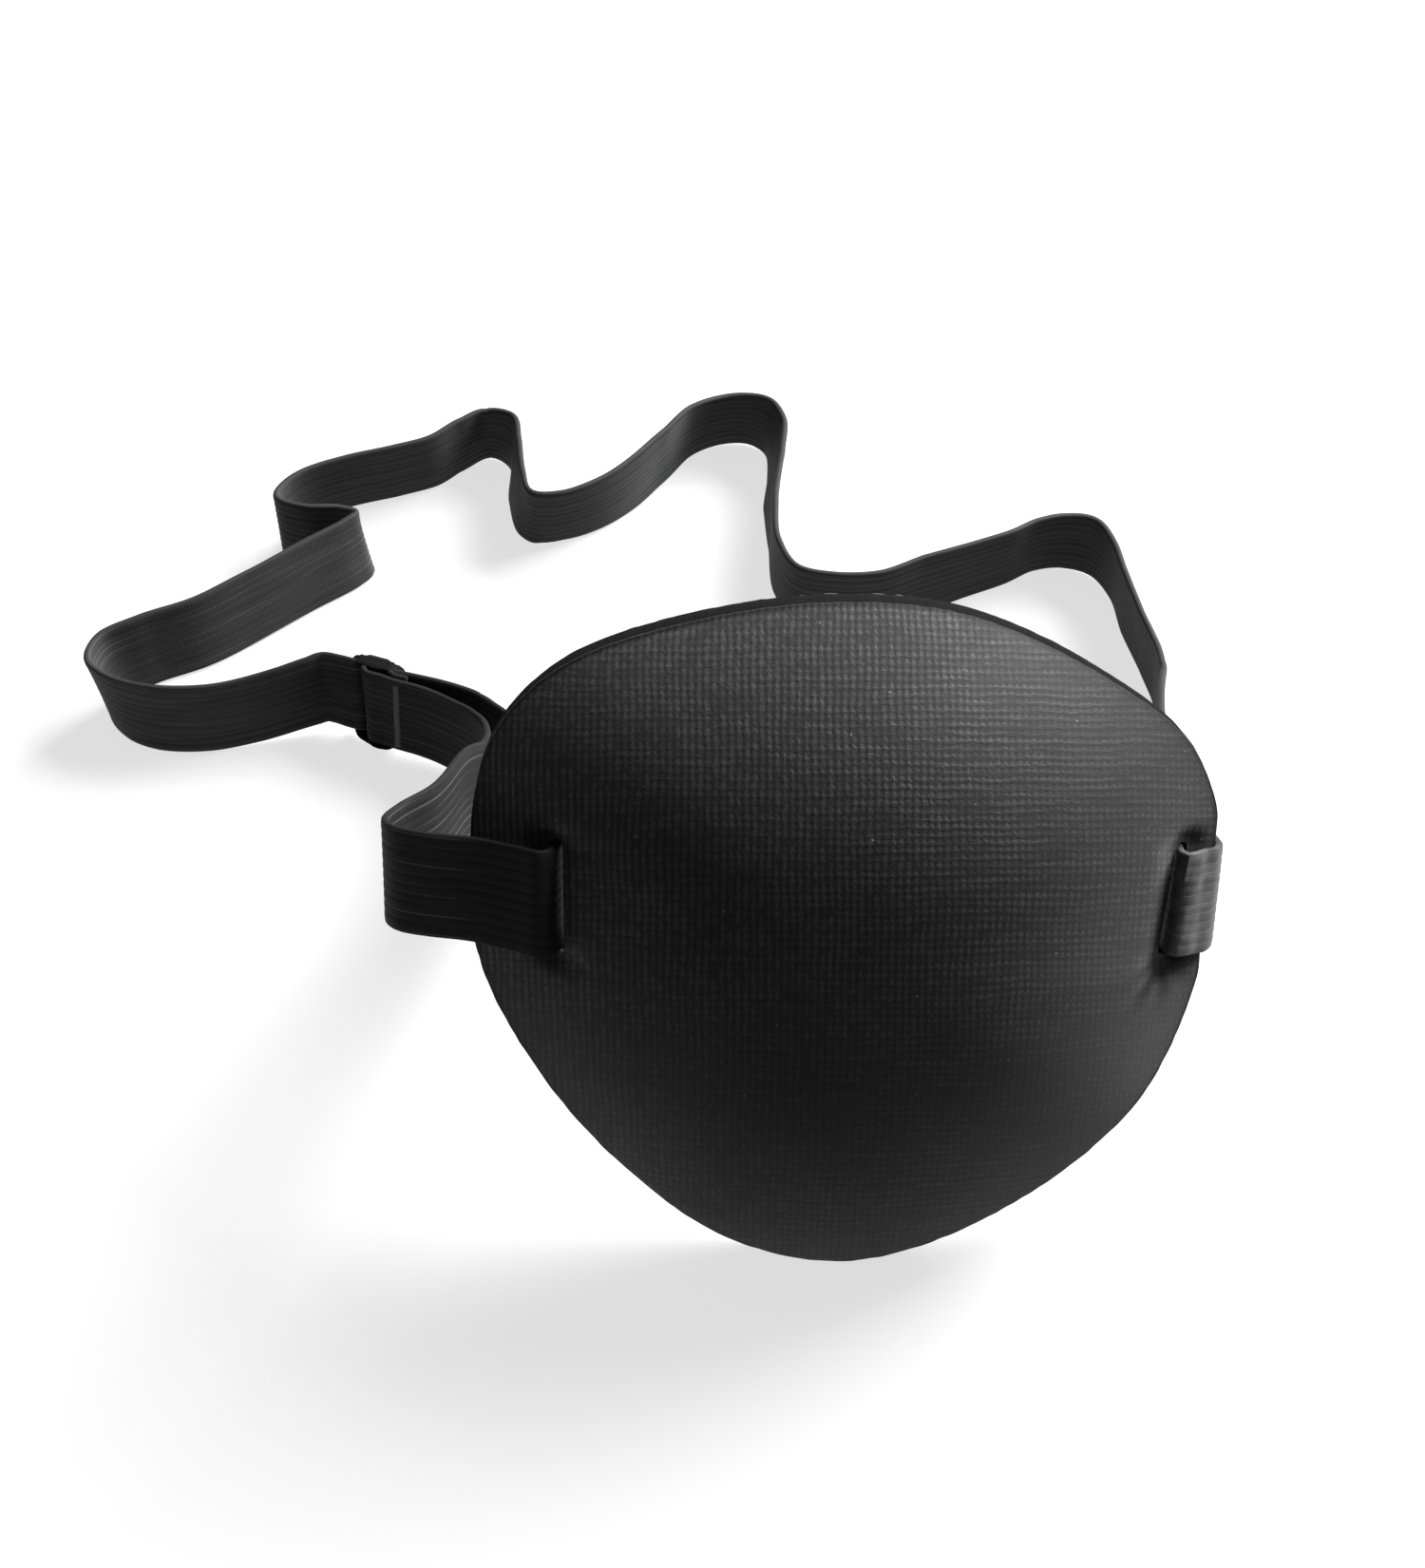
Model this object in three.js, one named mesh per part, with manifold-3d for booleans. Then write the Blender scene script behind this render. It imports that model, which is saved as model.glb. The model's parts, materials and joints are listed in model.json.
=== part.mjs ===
// Moulded eye patch with one elastic head strap and a plastic adjuster. Millimetres, +Z up.
// The patch stands on the bottom of its rim and leans back; its front faces -Y and the strap lies behind it.
import * as THREE from 'three';
import { mergeVertices } from 'three/addons/utils/BufferGeometryUtils.js';
import Module from 'manifold-3d';

const wasm = await Module();
wasm.setup();

// ---- driving dimensions -------------------------------------------------------------------------------
const LEAN = THREE.MathUtils.degToRad(32);      // the rim plane leans back from vertical
const RIM_AT = new THREE.Vector3(0, -1.7, 2.15); // lowest point of the face's rim; the foam behind it touches the ground
const ORIGIN = new THREE.Vector3(-1.21, 20.16, -0.005); // below the middle of the patch's own box
const DOME_HEIGHT = 18;                         // rim plane to the crown of the face
const DOME_CENTRE = new THREE.Vector2(-1, 44.6); // crown, across and up the rim plane
const WING_DROP = 3;                            // the sides curl back towards the face by this much
const WING_REACH = 41;                          // at this distance from the middle

// depths of the three layers below the face, and how far each stops short of the cut edge
const FACE = { depth: [0, 0.5], inset: 0.2 };
const FOAM = { depth: [0.8, 2.9], inset: 0 };
const LINING = { depth: [3.2, 3.6], inset: 0.9 };

const STRAP_WIDTH = 12;
const STRAP_THICK = 0.9;
const GAP = 0.3;                                // clearance between pieces that touch

const SLOT_HEIGHT = 14;
const SLOT_WIDTH = 2.6;
const LEFT_SLOT = { at: new THREE.Vector2(-32, 46), tilt: 0 };
const RIGHT_SLOT = { at: new THREE.Vector2(34.3, 43.8), tilt: THREE.MathUtils.degToRad(-8) };

// outline of the rim, across and up the rim plane
const RIM = [
  [0, 0], [-13.8, 2.9], [-26.1, 12.1], [-35.2, 23.3], [-41, 35.4], [-41.9, 48.1], [-39.2, 61.2], [-31.8, 69.3],
  [-17.9, 74.7], [-2, 77], [11.9, 75.5], [26.8, 68.4], [36.8, 60.1], [40.4, 48.8], [38.7, 34.3], [32, 18.3],
  [15.9, 5.3],
];
// the right wrap squeezes the rim: where, seen from the crown (radians), how deep and how far each way
const NIP = { angle: -0.03, depth: 1.5, half: 0.18 };

// ---- materials ----------------------------------------------------------------------------------------
const knit = new THREE.MeshStandardMaterial({ color: 0x2a2a2b, roughness: 0.85, metalness: 0 });
const foam = new THREE.MeshStandardMaterial({ color: 0x1c1c1d, roughness: 0.95, metalness: 0 });
const tricot = new THREE.MeshStandardMaterial({ color: 0x202021, roughness: 0.9, metalness: 0 });
const elastic = new THREE.MeshStandardMaterial({ color: 0x242425, roughness: 0.8, metalness: 0 });
const plastic = new THREE.MeshStandardMaterial({ color: 0x141415, roughness: 0.4, metalness: 0 });
const thread = new THREE.MeshStandardMaterial({ color: 0x1d1d1e, roughness: 0.7, metalness: 0 });

// ---- helpers ------------------------------------------------------------------------------------------
const patchFrame = new THREE.Matrix4().makeBasis(
  new THREE.Vector3(1, 0, 0),
  new THREE.Vector3(0, Math.sin(LEAN), Math.cos(LEAN)),
  new THREE.Vector3(0, -Math.cos(LEAN), Math.sin(LEAN)),
).setPosition(RIM_AT);

function onPatch(u, v, w) {
  return new THREE.Vector3(u, v, w).applyMatrix4(patchFrame);
}

function toManifold(geometry) {
  const g = geometry.clone();
  g.deleteAttribute('normal');
  g.deleteAttribute('uv');
  const welded = mergeVertices(g, 1e-5);
  return new wasm.Manifold(new wasm.Mesh({
    numProp: 3,
    vertProperties: new Float32Array(welded.attributes.position.array),
    triVerts: new Uint32Array(welded.index.array),
  }));
}

function toGeometry(solid) {
  const mesh = solid.getMesh();
  const g = new THREE.BufferGeometry();
  g.setAttribute('position', new THREE.BufferAttribute(mesh.vertProperties, 3));
  g.setIndex(new THREE.BufferAttribute(mesh.triVerts, 1));
  g.computeVertexNormals();
  return g;
}

function part(name, geometry, material) {
  const mesh = new THREE.Mesh(geometry, material);
  mesh.name = name;
  return mesh;
}

// ---- the moulded patch --------------------------------------------------------------------------------
const rimCurve = new THREE.CatmullRomCurve3(RIM.map(([u, v]) => new THREE.Vector3(u, v, 0)), true, 'centripetal');
const rimSamples = rimCurve.getPoints(720).map((p) => {
  const arm = new THREE.Vector2(p.x, p.y).sub(DOME_CENTRE);
  return { angle: arm.angle(), radius: arm.length() };
}).sort((a, b) => a.angle - b.angle);

function rimRadius(angle) {
  const turn = 2 * Math.PI;
  const a = ((angle % turn) + turn) % turn;
  let i = rimSamples.findIndex((s) => s.angle >= a);
  if (i < 1) i = 0;
  const hi = rimSamples[i];
  const lo = rimSamples.at(i - 1);
  const span = (hi.angle - lo.angle + turn) % turn;
  const t = span > 0 ? ((a - lo.angle + turn) % turn) / span : 0;
  const away = Math.atan2(Math.sin(a - NIP.angle), Math.cos(a - NIP.angle));
  const nip = NIP.depth * Math.exp(-((away / NIP.half) ** 4));
  return lo.radius + (hi.radius - lo.radius) * t - nip;
}

// the face: a full dome that runs out gently towards the two slots
function facePoint(share, angle, inset = 0) {
  const radius = share * rimRadius(angle) - inset;
  const u = DOME_CENTRE.x + radius * Math.cos(angle);
  const v = DOME_CENTRE.y + radius * Math.sin(angle);
  const ease = 1 + 0.2 * Math.abs(Math.cos(angle)) ** 6;
  const w = DOME_HEIGHT * (1 - share ** 2.4) ** ease - WING_DROP * (u / WING_REACH) ** 2;
  return new THREE.Vector3(u, v, w);
}

function faceNormal(share, angle) {
  const step = 0.02;
  const s = THREE.MathUtils.clamp(share, 2 * step, 1 - step / 2);
  const out = facePoint(s + step / 2, angle).sub(facePoint(s - step / 2, angle));
  const round = facePoint(s, angle + step).sub(facePoint(s, angle - step));
  return share < step ? new THREE.Vector3(0, 0, 1) : out.cross(round).normalize();
}

// One layer of the lamination: a closed lathe whose height picks the outer (1) or inner (0) surface.
// The rim is cut square to the rim plane, so there the layers are stacked along w instead of along the normal.
function layer(spec) {
  const shares = [0, 0.2, 0.38, 0.54, 0.68, 0.79, 0.87, 0.94, 1];
  const inner = shares.map((s) => new THREE.Vector2(s, 0));
  const outer = [...shares].reverse().map((s) => new THREE.Vector2(s, 1));
  const lathe = new THREE.LatheGeometry([...inner, ...outer], 60);
  const at = lathe.attributes.position;
  for (let i = 0; i < at.count; i += 1) {
    const share = Math.min(1, Math.hypot(at.getX(i), at.getZ(i)));
    const angle = Math.atan2(at.getX(i), at.getZ(i));
    const depth = spec.depth[at.getY(i) > 0.5 ? 0 : 1];
    const normal = faceNormal(share, angle);
    const square = new THREE.Vector3(0, 0, 1 / normal.z);
    const inward = normal.lerp(square, THREE.MathUtils.smoothstep(share, 0.8, 1));
    const p = facePoint(share, angle, share > 0.999 ? spec.inset : 0);
    p.addScaledVector(inward, -depth).applyMatrix4(patchFrame);
    at.setXYZ(i, p.x, p.y, p.z);
  }
  let solid = toManifold(lathe);
  for (const slot of [LEFT_SLOT, RIGHT_SLOT]) solid = solid.subtract(slotCutter(slot));
  return toGeometry(solid);
}

function slotCutter({ at, tilt }) {
  const box = new THREE.BoxGeometry(SLOT_WIDTH, SLOT_HEIGHT, 40).rotateZ(tilt).translate(at.x, at.y, 0);
  return toManifold(box.applyMatrix4(patchFrame));
}

// ---- the strap ----------------------------------------------------------------------------------------
// Route points: x, y, z of the centre line, how far the top edge leans back, and how far it leans right (degrees).
const GROUND = 6.1;                             // centre line of a band that stands on its edge
const wrapRight = [
  [36.7, 43.6, -22, 6], [36.5, 43.6, -17.5, 6], [35.7, 43.8, -12, 6], [35, 44, -7, 6], [34.8, 44.1, -2, 6],
  [34.7, 44.1, 1, 6], [35.2, 44.1, 2.2, 5], [36.3, 43.9, 1.5, 4], [37.7, 43.5, -0.3, 3], [39.2, 43.1, -2.1, 3],
  [40.1, 42.9, -4.5, 3], [40, 42.8, -8, 3], [39.5, 42.9, -12.5, 5], [38.7, 43.4, -18, 6], [38.5, 43.6, -22.5, 6],
].map(([u, v, w, right]) => [...onPatch(u, v, w), 32, right]);
const RIGHT_END = [
  ...wrapRight, [38.5, 48.2, 23.6, 25, 5], [39.2, 56, 18.2, 18, 3], [40.9, 65, 12.9, 11, 0],
  [42.6, 74.9, 8.7, 4, -2],
];
const RUN = [
  [42.65, 75.4, 8.5, 4, -3], [43.7, 79.8, 7, 2, -5], [43.9, 85, GROUND, 0, -6], [42.6, 91, GROUND, 0, -7],
  [41, 98, GROUND, 0, -5], [39.9, 104.4, GROUND, 0, -6], [37.5, 108.8, GROUND, -4, -3],
  [33.6, 110, GROUND, -8], [29.6, 109.3, GROUND, -9], [25.4, 106.8, GROUND, -8], [19.4, 104.1, GROUND, -7],
  [13.4, 101.5, GROUND, -4], [7.4, 99, GROUND, -8], [1.6, 98.8, GROUND, -10], [-3.8, 100.2, GROUND, -9],
  [-6.3, 105, GROUND, -4], [-6.7, 113.5, GROUND, 0, 2], [-6.6, 122, GROUND, 0, 11],
  [-6.1, 128.6, GROUND, -3, 10], [-7.4, 133, GROUND, -8, 3], [-10.2, 134.7, GROUND, -12],
  [-14.2, 134.5, GROUND, -13], [-18.4, 132.4, GROUND, -13], [-22.4, 127, GROUND, -12],
  [-26.4, 121.8, GROUND, -11], [-31, 117.6, GROUND, -12], [-36, 115, GROUND, -13], [-40, 114.7, GROUND, -11],
  [-42.1, 117.4, GROUND, -4, 7], [-43.3, 124, GROUND, 0, 9], [-44.1, 129.8, GROUND, -8, 5],
  [-47.6, 131.8, GROUND, -14], [-51.4, 129.4, GROUND, -13], [-55.2, 126, GROUND, -12],
  [-60, 124, GROUND, -12], [-66.6, 121.9, GROUND, -12], [-71.5, 119.6, GROUND, -13], [-74.6, 116.2, GROUND, -8],
  [-75.4, 113, GROUND, -1], [-71.6, 111, GROUND, 0], [-66.2, 110.8, GROUND, 0, -4],
  [-63.7, 109.7, GROUND, 2, -7], [-65.2, 107.6, GROUND, 6, -4], [-70.6, 103.4, GROUND, 9],
  [-77.6, 97.6, GROUND, 9], [-84.2, 92.7, GROUND, 8], [-90.9, 89.5, GROUND, 4, -6],
  [-95.4, 86.5, GROUND, 2, -9], [-96.3, 82.6, GROUND, 0, -9], [-93.4, 79.3, GROUND, 2, -6],
  [-88.4, 77.4, GROUND, 3], [-81.6, 77.2, GROUND, 3], [-76, 78.3, 6.4, 3], [-71, 79.7, 7, 3],
  [-68, 80.7, 7.4, 5], [-66.2, 81.35, 7.5, 7], [-64.95, 81.12, 7.5, 9],
];
// straight stretch through the adjuster
const THREAD_LEAN = 9;
const THREAD_START = new THREE.Vector3(-64.6, 81, 7.5);
const THREAD_END = new THREE.Vector3(-47.4, 75.2, 7.5);
const loopLeft = [
  [-32.9, 46, -14], [-32, 46, -7], [-31.8, 46, -1], [-31.9, 46.1, 5.4], [-33.3, 46.2, 7.7],
  [-36.3, 46.3, 6.2], [-41, 46.4, 3.8], [-46.2, 46.4, 2.1], [-49.6, 46.4, 0.1], [-51, 46.3, -3.3],
  [-49.8, 46.4, -7.6], [-46.7, 46.8, -13],
].map(([u, v, w]) => [...onPatch(u, v, w), 32]);
const LEFT_END = [
  [-47.07, 75.09, 7.5, 9], [-45, 73.9, 7.5, 9], [-42.6, 70.8, 8.5, 10], [-40.2, 66.3, 10.6, 14],
  [-38.2, 60.3, 14.2, 18], [-36, 52.5, 19.1, 24], [-34.6, 44.6, 25.4, 30], ...loopLeft,
  [-44.2, 45.2, 28.2, 28], [-43, 52.2, 21.6, 23], [-43.1, 59.6, 15.4, 17], [-44.4, 65.6, 10.9, 13],
  [-47.2, 69.2, 8.7, 11], [-50.6, 71.1, 7.6, 9], [-54.4, 72.5, 7.5, 9], [-61.7, 75, 7.5, 9],
];

// A flat band keeps its width along a chosen direction: its frames follow the leans, not the curve's own twist.
class BandCurve extends THREE.CatmullRomCurve3 {
  constructor(route) {
    super(route.map(([x, y, z]) => new THREE.Vector3(x, y, z)), false, 'centripetal');
    this.tops = route.map(([, , , lean, right = 0]) => {
      const back = THREE.MathUtils.degToRad(lean);
      return new THREE.Vector3(Math.tan(THREE.MathUtils.degToRad(right)), Math.sin(back), Math.cos(back)).normalize();
    });
  }

  topAt(share) {
    const along = this.getUtoTmapping(share) * (this.tops.length - 1);
    const i = Math.min(Math.floor(along), this.tops.length - 2);
    return this.tops[i].clone().lerp(this.tops[i + 1], along - i);
  }

  computeFrenetFrames(segments) {
    const tangents = [];
    const normals = [];
    const binormals = [];
    for (let i = 0; i <= segments; i += 1) {
      const t = this.getTangentAt(i / segments);
      const up = this.topAt(i / segments);
      const n = up.addScaledVector(t, -up.dot(t)).normalize();
      tangents.push(t);
      normals.push(n);
      binormals.push(new THREE.Vector3().crossVectors(t, n));
    }
    return { tangents, normals, binormals };
  }
}

function bandSection(width, thick) {
  const x = width / 2;
  const y = thick / 2;
  const soft = thick * 0.3;
  return new THREE.Shape([
    [x - soft, -y], [x, -y + soft], [x, y - soft], [x - soft, y],
    [-x + soft, y], [-x, y - soft], [-x, -y + soft], [-x + soft, -y],
  ].map(([a, b]) => new THREE.Vector2(a, b)));
}

function band(route, steps) {
  return new THREE.ExtrudeGeometry(bandSection(STRAP_WIDTH, STRAP_THICK), {
    steps, bevelEnabled: false, extrudePath: new BandCurve(route),
  });
}

// ---- the adjuster and what rides on it ----------------------------------------------------------------
// Its own axes: x along the strap towards the patch, y through the strap away from the front, z up.
const ADJUSTER_AT = 5.4;                        // from the start of the straight stretch
const ADJUSTER_LENGTH = 7.8;
const ADJUSTER_HEIGHT = 14.2;
const RAIL_HEIGHT = 0.8;
const BAR = 1.3;
const MIDDLE_BAR = 1.1;
const FOLD_THICK = 0.7;                         // the stretched strap round the middle bar
const MIDDLE_OFFSET = -(STRAP_THICK / 2 + 2 * GAP + FOLD_THICK + MIDDLE_BAR / 2);

const along = THREAD_END.clone().sub(THREAD_START).normalize();
const adjusterFrame = new THREE.Group();
adjusterFrame.position.copy(THREAD_START).addScaledVector(along, ADJUSTER_AT);
const threadBack = THREE.MathUtils.degToRad(THREAD_LEAN);
const threadTop = new THREE.Vector3(0, Math.sin(threadBack), Math.cos(threadBack));
threadTop.addScaledVector(along, -threadTop.dot(along)).normalize();
adjusterFrame.quaternion.setFromRotationMatrix(
  new THREE.Matrix4().makeBasis(along, new THREE.Vector3().crossVectors(threadTop, along), threadTop),
);

// Two end rails carry three bars. The strap runs straight between them: behind the middle bar, in front of the outer two.
function adjusterGeometry() {
  const barOffset = STRAP_THICK / 2 + GAP + BAR / 2;
  const front = MIDDLE_OFFSET - MIDDLE_BAR / 2;
  const back = barOffset + BAR / 2;
  const rail = new THREE.BoxGeometry(ADJUSTER_LENGTH, back - front, RAIL_HEIGHT);
  rail.translate(0, (back + front) / 2, 0);
  const railZ = (ADJUSTER_HEIGHT - RAIL_HEIGHT) / 2;
  const bar = (x, y, thick) => new THREE.CylinderGeometry(thick / 2, thick / 2, ADJUSTER_HEIGHT - RAIL_HEIGHT, 16)
    .rotateX(Math.PI / 2).translate(x, y, 0);
  const outerX = (ADJUSTER_LENGTH - BAR) / 2;
  const pieces = [
    rail.clone().translate(0, 0, railZ), rail.clone().translate(0, 0, -railZ),
    bar(-outerX, barOffset, BAR), bar(outerX, barOffset, BAR), bar(0, MIDDLE_OFFSET, MIDDLE_BAR),
  ];
  return toGeometry(pieces.map(toManifold).reduce((a, b) => a.add(b)));
}

// the strap's sewn end: folded round the middle bar, both legs towards the patch
function foldGeometry() {
  const inner = MIDDLE_BAR / 2 + GAP;
  const outer = inner + FOLD_THICK;
  const legEnd = 2.9;
  const shape = new THREE.Shape();
  shape.moveTo(legEnd, outer);
  shape.lineTo(0, outer);
  shape.absarc(0, 0, outer, Math.PI / 2, -Math.PI / 2 + 2 * Math.PI, false);
  shape.lineTo(legEnd, -outer);
  shape.lineTo(legEnd, -inner);
  shape.lineTo(0, -inner);
  shape.absarc(0, 0, inner, -Math.PI / 2 + 2 * Math.PI, Math.PI / 2, true);
  shape.lineTo(legEnd, inner);
  shape.closePath();
  const width = ADJUSTER_HEIGHT - 2 * RAIL_HEIGHT - 2 * GAP;
  return new THREE.ExtrudeGeometry(shape, { depth: width, bevelEnabled: false, curveSegments: 10 })
    .translate(0, MIDDLE_OFFSET, -width / 2);
}

// ---- stitching ----------------------------------------------------------------------------------------
const TACK_WIDTH = 10;
const TACK_LENGTH = 1.4;
const RIGHT_TACK_THICK = 0.3;
const RIGHT_TACK_TILT = THREE.MathUtils.degToRad(6);

// joins the strap's right tail to the strap itself, behind the patch
function rightTack() {
  const mesh = part('bartack_right', new THREE.BoxGeometry(TACK_LENGTH, RIGHT_TACK_THICK, TACK_WIDTH), thread);
  const heading = onPatch(0, 0, -1).sub(onPatch(0, 0, 0)).normalize();
  const top = onPatch(Math.sin(RIGHT_TACK_TILT), 1, 0).sub(onPatch(0, 0, 0));
  const across = new THREE.Vector3().crossVectors(top, heading).normalize();
  top.crossVectors(heading, across).normalize();
  mesh.quaternion.setFromRotationMatrix(new THREE.Matrix4().makeBasis(heading, across, top));
  mesh.position.copy(onPatch(37.6, 43.5, -19.5));
  return mesh;
}

// holds the two legs of the fold together, next to the middle bar
function foldTack() {
  const mesh = part('bartack_adjuster', new THREE.BoxGeometry(TACK_LENGTH, MIDDLE_BAR, TACK_WIDTH), thread);
  mesh.position.set(MIDDLE_BAR / 2 + GAP + TACK_LENGTH / 2, MIDDLE_OFFSET, 0);
  return mesh;
}

// ---- assembly -----------------------------------------------------------------------------------------
const group = new THREE.Group();
group.position.copy(ORIGIN).negate();

group.add(part('face_fabric', layer(FACE), knit));
group.add(part('foam_core', layer(FOAM), foam));
group.add(part('lining_fabric', layer(LINING), tricot));

group.add(part('strap_right_end', band(RIGHT_END, 34), elastic));
group.add(part('strap_run', band(RUN, 80), elastic));
const threadRoute = [THREAD_START, THREAD_END].map((p) => [p.x, p.y, p.z, THREAD_LEAN]);
group.add(part('strap_at_adjuster', band(threadRoute, 1), elastic));
group.add(part('strap_left_end', band(LEFT_END, 60), elastic));

const adjuster = part('adjuster', adjusterGeometry(), plastic);
const sewnFold = part('strap_sewn_fold', foldGeometry(), elastic);
adjusterFrame.add(adjuster, sewnFold, foldTack());
group.add(adjusterFrame);
group.add(rightTack());

export default group;
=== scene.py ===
"""Looks of a moulded eye patch with an elastic strap, built round its CAD frame. Blender 4.5, metres."""
import json
import math

import bpy
import numpy as np
from mathutils import Vector
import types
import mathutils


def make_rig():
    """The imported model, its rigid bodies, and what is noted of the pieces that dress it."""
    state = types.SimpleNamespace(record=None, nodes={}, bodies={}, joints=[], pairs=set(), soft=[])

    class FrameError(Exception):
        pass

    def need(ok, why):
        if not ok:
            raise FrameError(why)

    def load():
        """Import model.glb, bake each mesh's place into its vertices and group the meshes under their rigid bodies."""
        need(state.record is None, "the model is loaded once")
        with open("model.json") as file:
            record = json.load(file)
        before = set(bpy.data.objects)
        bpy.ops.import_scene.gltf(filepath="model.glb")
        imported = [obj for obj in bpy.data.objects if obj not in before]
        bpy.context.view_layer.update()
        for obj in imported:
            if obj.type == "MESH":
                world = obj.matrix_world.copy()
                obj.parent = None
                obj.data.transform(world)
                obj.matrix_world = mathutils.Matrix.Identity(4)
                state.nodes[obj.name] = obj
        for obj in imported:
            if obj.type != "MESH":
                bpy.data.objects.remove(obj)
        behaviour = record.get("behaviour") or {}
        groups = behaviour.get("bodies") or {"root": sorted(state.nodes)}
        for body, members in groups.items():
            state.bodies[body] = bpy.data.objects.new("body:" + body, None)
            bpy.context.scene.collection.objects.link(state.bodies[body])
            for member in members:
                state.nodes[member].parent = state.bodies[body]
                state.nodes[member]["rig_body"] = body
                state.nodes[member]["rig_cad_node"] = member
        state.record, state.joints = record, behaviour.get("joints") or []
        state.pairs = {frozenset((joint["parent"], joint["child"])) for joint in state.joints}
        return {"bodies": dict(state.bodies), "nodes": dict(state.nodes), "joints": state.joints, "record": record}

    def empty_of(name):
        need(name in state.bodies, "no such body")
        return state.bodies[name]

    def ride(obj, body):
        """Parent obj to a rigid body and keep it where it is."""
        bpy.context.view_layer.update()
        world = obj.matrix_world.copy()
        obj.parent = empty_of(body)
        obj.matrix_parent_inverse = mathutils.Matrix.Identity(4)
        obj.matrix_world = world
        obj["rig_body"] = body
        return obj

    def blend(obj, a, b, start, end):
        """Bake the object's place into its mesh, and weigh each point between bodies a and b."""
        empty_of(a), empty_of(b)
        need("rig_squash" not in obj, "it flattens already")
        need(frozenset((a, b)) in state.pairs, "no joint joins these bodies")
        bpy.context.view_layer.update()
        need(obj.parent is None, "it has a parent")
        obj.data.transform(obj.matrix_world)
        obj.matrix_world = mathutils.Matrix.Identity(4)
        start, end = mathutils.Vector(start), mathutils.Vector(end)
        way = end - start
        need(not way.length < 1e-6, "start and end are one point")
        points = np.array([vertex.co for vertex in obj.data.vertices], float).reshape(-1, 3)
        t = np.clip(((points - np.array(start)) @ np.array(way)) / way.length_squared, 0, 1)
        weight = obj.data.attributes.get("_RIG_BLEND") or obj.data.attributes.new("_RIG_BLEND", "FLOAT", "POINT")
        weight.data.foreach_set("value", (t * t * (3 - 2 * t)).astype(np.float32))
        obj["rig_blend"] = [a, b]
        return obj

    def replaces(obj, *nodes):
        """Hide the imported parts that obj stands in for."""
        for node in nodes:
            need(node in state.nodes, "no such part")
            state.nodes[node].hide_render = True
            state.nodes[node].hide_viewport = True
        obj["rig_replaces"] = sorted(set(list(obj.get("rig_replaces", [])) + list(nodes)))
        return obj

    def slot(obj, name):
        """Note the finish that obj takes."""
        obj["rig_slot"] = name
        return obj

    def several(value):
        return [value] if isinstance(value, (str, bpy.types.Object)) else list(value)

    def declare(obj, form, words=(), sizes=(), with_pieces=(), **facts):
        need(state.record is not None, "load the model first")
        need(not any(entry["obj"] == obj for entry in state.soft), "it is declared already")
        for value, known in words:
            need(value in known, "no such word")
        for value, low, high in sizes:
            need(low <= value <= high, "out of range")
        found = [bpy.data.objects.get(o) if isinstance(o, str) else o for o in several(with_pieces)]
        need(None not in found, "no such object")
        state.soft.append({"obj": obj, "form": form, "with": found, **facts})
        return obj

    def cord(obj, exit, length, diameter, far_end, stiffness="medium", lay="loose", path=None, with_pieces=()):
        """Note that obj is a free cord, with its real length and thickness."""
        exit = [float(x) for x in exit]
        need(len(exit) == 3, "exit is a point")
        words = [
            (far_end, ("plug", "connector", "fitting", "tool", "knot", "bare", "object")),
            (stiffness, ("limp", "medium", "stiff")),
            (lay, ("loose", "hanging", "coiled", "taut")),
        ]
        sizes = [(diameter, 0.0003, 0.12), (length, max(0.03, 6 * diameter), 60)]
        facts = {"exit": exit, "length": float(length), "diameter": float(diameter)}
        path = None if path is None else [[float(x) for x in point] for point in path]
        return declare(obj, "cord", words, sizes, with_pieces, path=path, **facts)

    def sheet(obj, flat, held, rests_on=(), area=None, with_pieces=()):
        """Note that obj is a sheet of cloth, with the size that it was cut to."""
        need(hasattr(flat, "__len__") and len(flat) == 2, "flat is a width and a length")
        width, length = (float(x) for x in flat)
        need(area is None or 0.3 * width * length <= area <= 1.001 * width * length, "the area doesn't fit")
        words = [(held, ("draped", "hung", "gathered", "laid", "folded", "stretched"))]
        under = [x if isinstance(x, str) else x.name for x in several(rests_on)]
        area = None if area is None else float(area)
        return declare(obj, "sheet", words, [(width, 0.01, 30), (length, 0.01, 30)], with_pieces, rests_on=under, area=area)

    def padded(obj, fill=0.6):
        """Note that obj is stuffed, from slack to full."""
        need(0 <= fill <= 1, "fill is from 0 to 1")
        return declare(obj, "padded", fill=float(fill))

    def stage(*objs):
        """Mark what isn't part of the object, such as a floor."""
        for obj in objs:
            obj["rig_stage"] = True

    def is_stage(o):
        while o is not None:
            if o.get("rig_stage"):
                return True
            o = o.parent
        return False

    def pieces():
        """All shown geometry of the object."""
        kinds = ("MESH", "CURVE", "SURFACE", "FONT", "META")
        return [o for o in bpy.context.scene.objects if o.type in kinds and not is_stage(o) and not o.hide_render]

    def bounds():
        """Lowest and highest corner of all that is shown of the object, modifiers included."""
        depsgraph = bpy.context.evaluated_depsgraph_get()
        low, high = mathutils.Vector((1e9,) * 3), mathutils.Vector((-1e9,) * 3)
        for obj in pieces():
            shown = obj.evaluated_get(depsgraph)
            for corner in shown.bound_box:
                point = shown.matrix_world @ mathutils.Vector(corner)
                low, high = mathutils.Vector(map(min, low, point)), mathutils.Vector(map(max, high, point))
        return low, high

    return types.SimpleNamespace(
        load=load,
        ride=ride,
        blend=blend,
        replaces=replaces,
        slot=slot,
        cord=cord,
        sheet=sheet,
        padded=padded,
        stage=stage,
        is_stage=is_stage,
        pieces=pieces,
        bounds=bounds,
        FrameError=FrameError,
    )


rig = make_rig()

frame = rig.load()
cad_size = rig.bounds()

MM = 0.001
rng = np.random.default_rng(7)

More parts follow.
